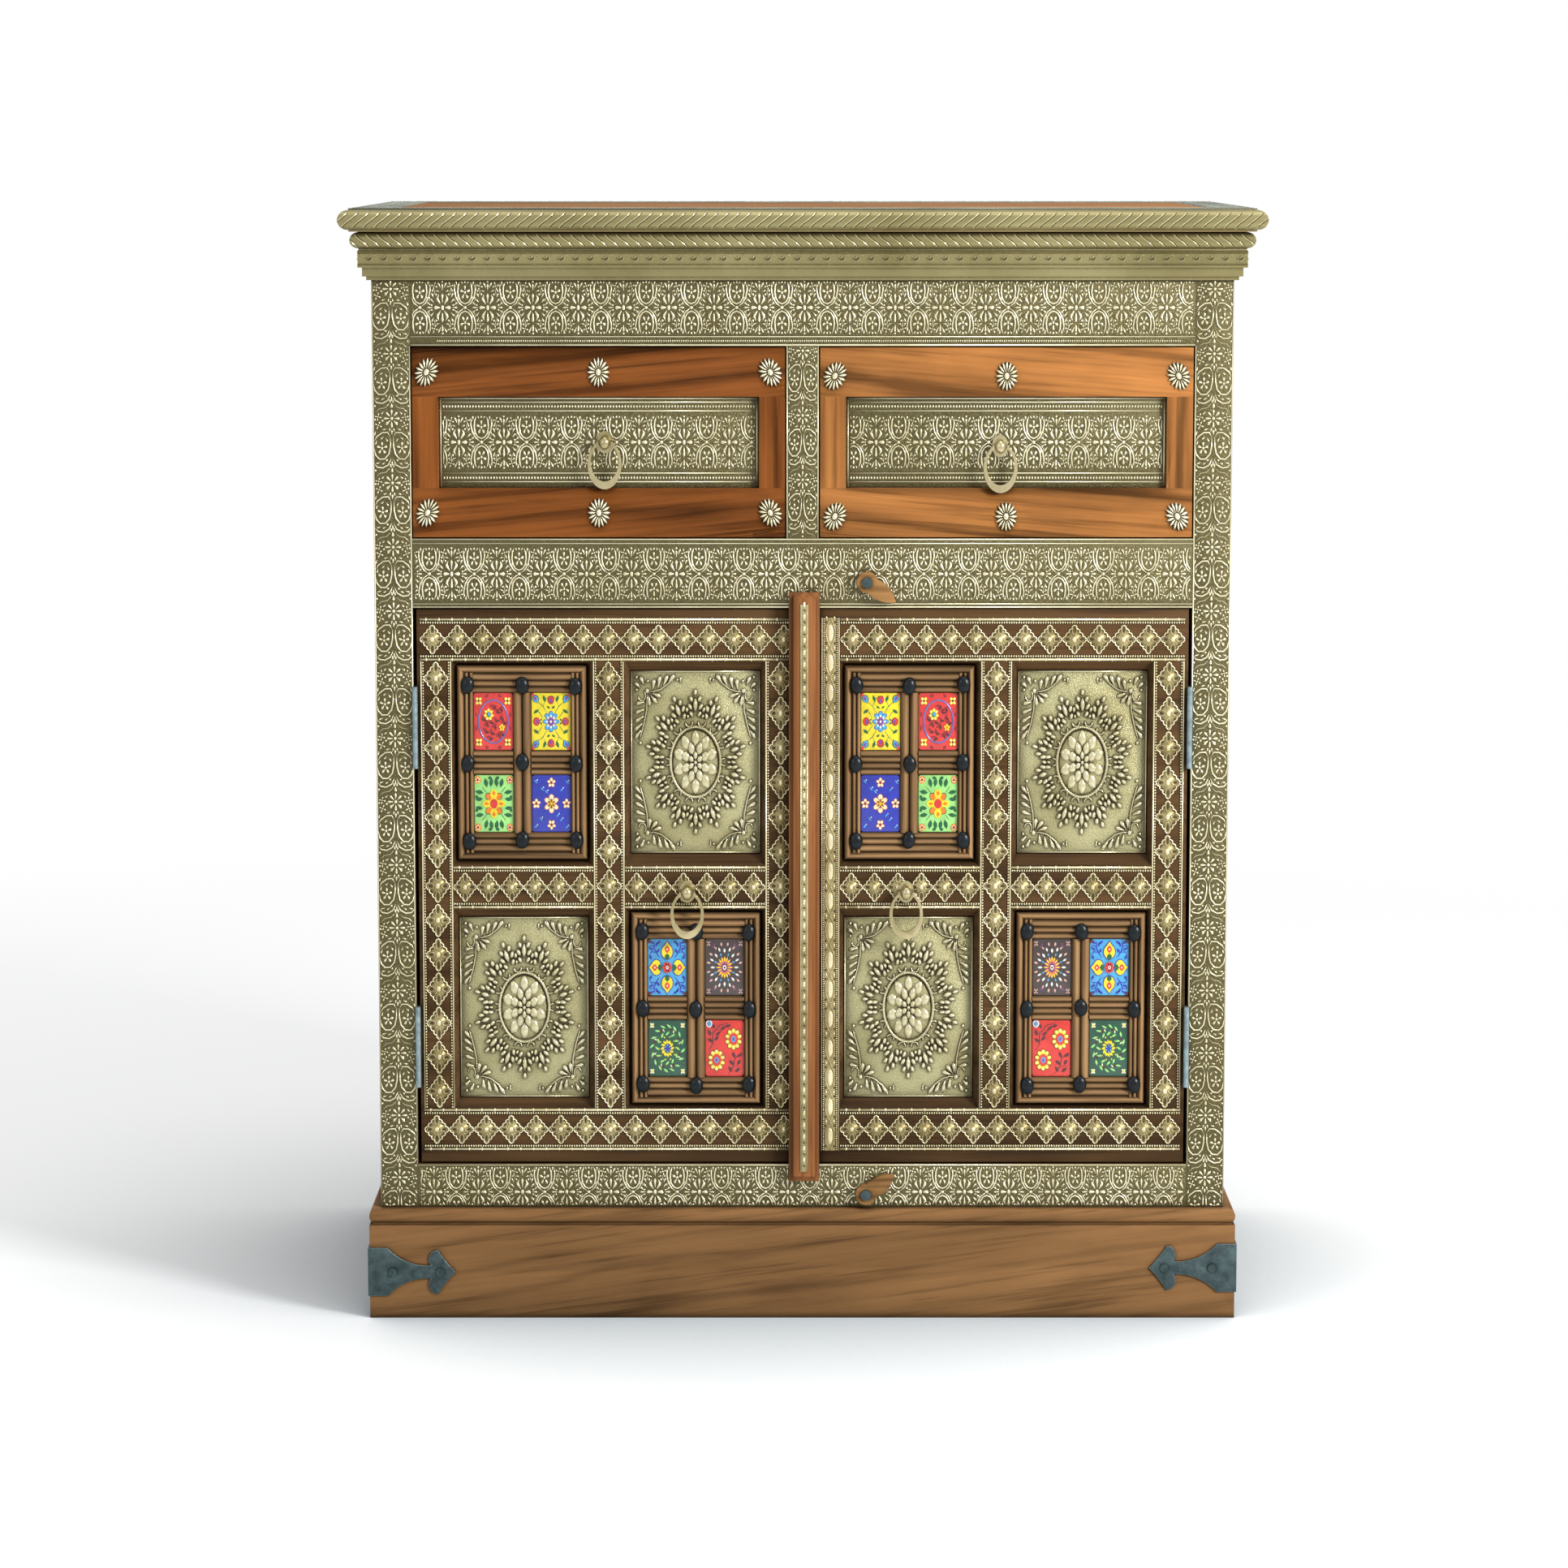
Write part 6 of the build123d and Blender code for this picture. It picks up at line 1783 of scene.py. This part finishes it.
def make_floor(lift):
    """A pale floor with a painted shadow that darkens it near the cabinet, fading to white far from it."""
    bm = bmesh.new()
    bmesh.ops.create_circle(bm, cap_ends=True, segments=96, radius=FLOOR_RADIUS)
    floor = stand("floor", baked("floor", bm))
    s = Shader("floor white")
    s.set(Roughness=0.9, Specular_IOR_Level=0.1)
    place = s.node("VectorMath", operation="LENGTH", values={0: s.place(scale=(1, 1, 0), location=(0.1, -0.1, 0))})
    far = s.spread(place.outputs["Value"], 0.9, 2.2)
    seen = s.shows_backdrop()
    # Painted shadow: near the cabinet the floor turns bluish grey and gets less of its lift.
    near = s.spread(s.hollow(0.6, samples=16), 0.42, 0.97)
    s.set(Base_Color=s.mix(near, srgb(186, 200, 210), srgb(250, 251, 252)))
    s.set(Emission_Color=WHITE, Emission_Strength=s.math("MULTIPLY", s.math("MULTIPLY", seen, near), lift))
    white = s.node("Emission", values={"Color": WHITE, "Strength": 1.0})
    blend = s.node(
        "MixShader", values={0: s.math("MULTIPLY", far, seen), 1: s.surface.outputs[0], 2: white.outputs[0]}
    )
    s.feed(s.tree.nodes["Material Output"].inputs["Surface"], blend.outputs[0])
    floor.data.materials.append(s.material)


def make_stage(sizes):
    """A pale floor that fades to white, soft lamps and the camera."""
    scene = bpy.context.scene
    scene.view_settings.view_transform = "Standard"
    make_world(sizes.world_light)
    make_floor(sizes.floor_lift)

    for name, place, target, size, colour in LAMPS:
        lamp = bpy.data.lights.new(name, "AREA")
        lamp.shape, lamp.size, lamp.energy, lamp.color = "SQUARE", size, getattr(sizes, name + "_light"), colour
        holder = stand(name, lamp)
        holder.location = place
        holder.rotation_mode = "QUATERNION"
        holder.rotation_quaternion = (Vector(target) - Vector(place)).to_track_quat("-Z", "Y")

    lens = bpy.data.cameras.new("camera")
    lens.sensor_width = 36.0
    lens.lens = sizes.camera_lens
    lens.shift_y = -0.06
    lens.clip_start, lens.clip_end = 0.1, 60.0
    holder = stand("camera", lens)
    holder.location = (sizes.camera_x, FACE_Y * MM - CAMERA_DISTANCE, sizes.camera_height)
    holder.rotation_euler = (math.pi / 2 - sizes.camera_tilt, 0, 0)
    scene.camera = holder


# ------------------------------------------------------------------ settings
def amount(name, description, default, **kind):
    return FloatProperty(name=name, description=description, default=default, **kind)


class CabinetSizes(bpy.types.PropertyGroup):
    camera_lens: amount("Lens", "Focal length of the camera", 103.65, unit="CAMERA")
    camera_height: amount("Camera height", "Height of the camera over the floor", 0.954, unit="LENGTH")
    camera_x: amount("Camera offset", "How far the camera stands to the right", -0.0148, unit="LENGTH")
    camera_tilt: amount("Camera tilt", "How far the camera looks down", 0.1215, subtype="ANGLE")
    key_light: amount("Key light", "Power of the lamp at the right", 86.0)
    fill_light: amount("Fill light", "Power of the lamp at the left", 10.0)
    top_light: amount("Top light", "Power of the lamp above", 20.0)
    floor_lift: amount("Floor lift", "Light that the floor adds for the camera", 0.34)
    world_light: amount("Surrounding light", "Strength of the light from all round", 0.41)


def shade(name, description, red, green, blue):
    return FloatVectorProperty(
        name=name, description=description, default=srgb(red, green, blue), subtype="COLOR", size=4, min=0.0, max=1.0
    )


class CabinetColours(bpy.types.PropertyGroup):
    raised_brass: shade("Raised brass", "Worn brass on the raised ornament", 237, 231, 198)
    dull_brass: shade("Dull brass", "Brass under a thin patina", 203, 195, 157)
    brass_ground: shade("Brass ground", "Punched ground between the ornament", 112, 104, 68)
    drawer_wood: shade("Drawer wood", "Middle shade of the drawer fronts", 128, 74, 33)
    plinth_wood: shade("Plinth wood", "Middle shade of the plinth and sides", 124, 90, 56)
    door_wood: shade("Door wood", "Middle shade of the doors", 73, 53, 32)


# ------------------------------------------------------------------ operators
class CABINET_OT_finishes(bpy.types.Operator):
    """Make the materials of the wood, brass, iron and glaze"""

    bl_idname = "cabinet.finishes"
    bl_label = "Finishes"

    def execute(self, context):
        make_finishes(context.scene.cabinet_colours)
        make_shapes()
        return {"FINISHED"}


class CABINET_OT_wood(bpy.types.Operator):
    """Dress the wood boards, the cornice fillets and the iron straps"""

    bl_idname = "cabinet.wood"
    bl_label = "Wood and iron"

    def execute(self, context):
        make_wood()
        make_core()
        return {"FINISHED"}


class CABINET_OT_face_sheets(bpy.types.Operator):
    """Emboss the brass cladding of the face frame"""

    bl_idname = "cabinet.face_sheets"
    bl_label = "Face cladding"

    def execute(self, context):
        make_face_sheets()
        return {"FINISHED"}


class CABINET_OT_side_sheets(bpy.types.Operator):
    """Emboss the brass cladding of both sides"""

    bl_idname = "cabinet.side_sheets"
    bl_label = "Side cladding"

    def execute(self, context):
        make_side_sheets()
        return {"FINISHED"}


class CABINET_OT_top_border(bpy.types.Operator):
    """Emboss the brass border of the top"""

    bl_idname = "cabinet.top_border"
    bl_label = "Top border"

    def execute(self, context):
        make_top_border()
        return {"FINISHED"}


class CABINET_OT_cornice(bpy.types.Operator):
    """Make the round mouldings and the scrolled band of the cornice"""

    bl_idname = "cabinet.cornice"
    bl_label = "Cornice"

    def execute(self, context):
        make_ropes()
        make_scroll_band()
        return {"FINISHED"}


class CABINET_OT_door_strips(bpy.types.Operator):
    """Make the pierced brass strips of the doors and the meeting strip"""

    bl_idname = "cabinet.door_strips"
    bl_label = "Pierced strips"

    def execute(self, context):
        make_door_strips()
        make_astragal_strip()
        return {"FINISHED"}


class CABINET_OT_medallions(bpy.types.Operator):
    """Emboss the medallion sheets"""

    bl_idname = "cabinet.medallions"
    bl_label = "Medallions"

    def execute(self, context):
        make_medallions()
        return {"FINISHED"}


class CABINET_OT_tile_panels(bpy.types.Operator):
    """Make the reeded frames, painted tiles and black studs"""

    bl_idname = "cabinet.tile_panels"
    bl_label = "Tile panels"

    def execute(self, context):
        make_tile_frames()
        make_tiles()
        make_studs()
        return {"FINISHED"}


class CABINET_OT_drawer_brass(bpy.types.Operator):
    """Emboss the drawer panels and make the flower-headed nails"""

    bl_idname = "cabinet.drawer_brass"
    bl_label = "Drawer brass"

    def execute(self, context):
        make_drawer_sheets()
        make_rosettes()
        return {"FINISHED"}


class CABINET_OT_stage(bpy.types.Operator):
    """Set up the floor, the lamps and the camera"""

    bl_idname = "cabinet.stage"
    bl_label = "Stage"

    def execute(self, context):
        make_stage(context.scene.cabinet_sizes)
        return {"FINISHED"}


OPERATORS = (
    CABINET_OT_finishes,
    CABINET_OT_wood,
    CABINET_OT_face_sheets,
    CABINET_OT_side_sheets,
    CABINET_OT_top_border,
    CABINET_OT_cornice,
    CABINET_OT_door_strips,
    CABINET_OT_medallions,
    CABINET_OT_tile_panels,
    CABINET_OT_drawer_brass,
    CABINET_OT_stage,
)


class CABINET_PT_panel(bpy.types.Panel):
    """Sizes, colours and pieces of the cabinet"""

    bl_label = "Cabinet"
    bl_idname = "CABINET_PT_panel"
    bl_space_type = "VIEW_3D"
    bl_region_type = "UI"
    bl_category = "Cabinet"

    def draw(self, context):
        for group in (context.scene.cabinet_sizes, context.scene.cabinet_colours):
            for name in group.bl_rna.properties.keys():
                if name not in ("rna_type", "name"):
                    self.layout.prop(group, name)
        for made in OPERATORS:
            self.layout.operator(made.bl_idname)


def register():
    for made in (CabinetSizes, CabinetColours, *OPERATORS, CABINET_PT_panel):
        bpy.utils.register_class(made)
    bpy.types.Scene.cabinet_sizes = PointerProperty(type=CabinetSizes)
    bpy.types.Scene.cabinet_colours = PointerProperty(type=CabinetColours)


def unregister():
    del bpy.types.Scene.cabinet_sizes
    del bpy.types.Scene.cabinet_colours
    for made in reversed((CabinetSizes, CabinetColours, *OPERATORS, CABINET_PT_panel)):
        bpy.utils.unregister_class(made)


def main():
    for name in ("Cube", "Light", "Camera"):
        start = bpy.data.objects.get(name)
        if start:
            bpy.data.objects.remove(start)
    register()
    for made in OPERATORS:
        getattr(bpy.ops.cabinet, made.bl_idname.split(".")[1])()
    for mesh in list(bpy.data.meshes):
        if not mesh.users:
            bpy.data.meshes.remove(mesh)


if __name__ == "__main__":
    main()
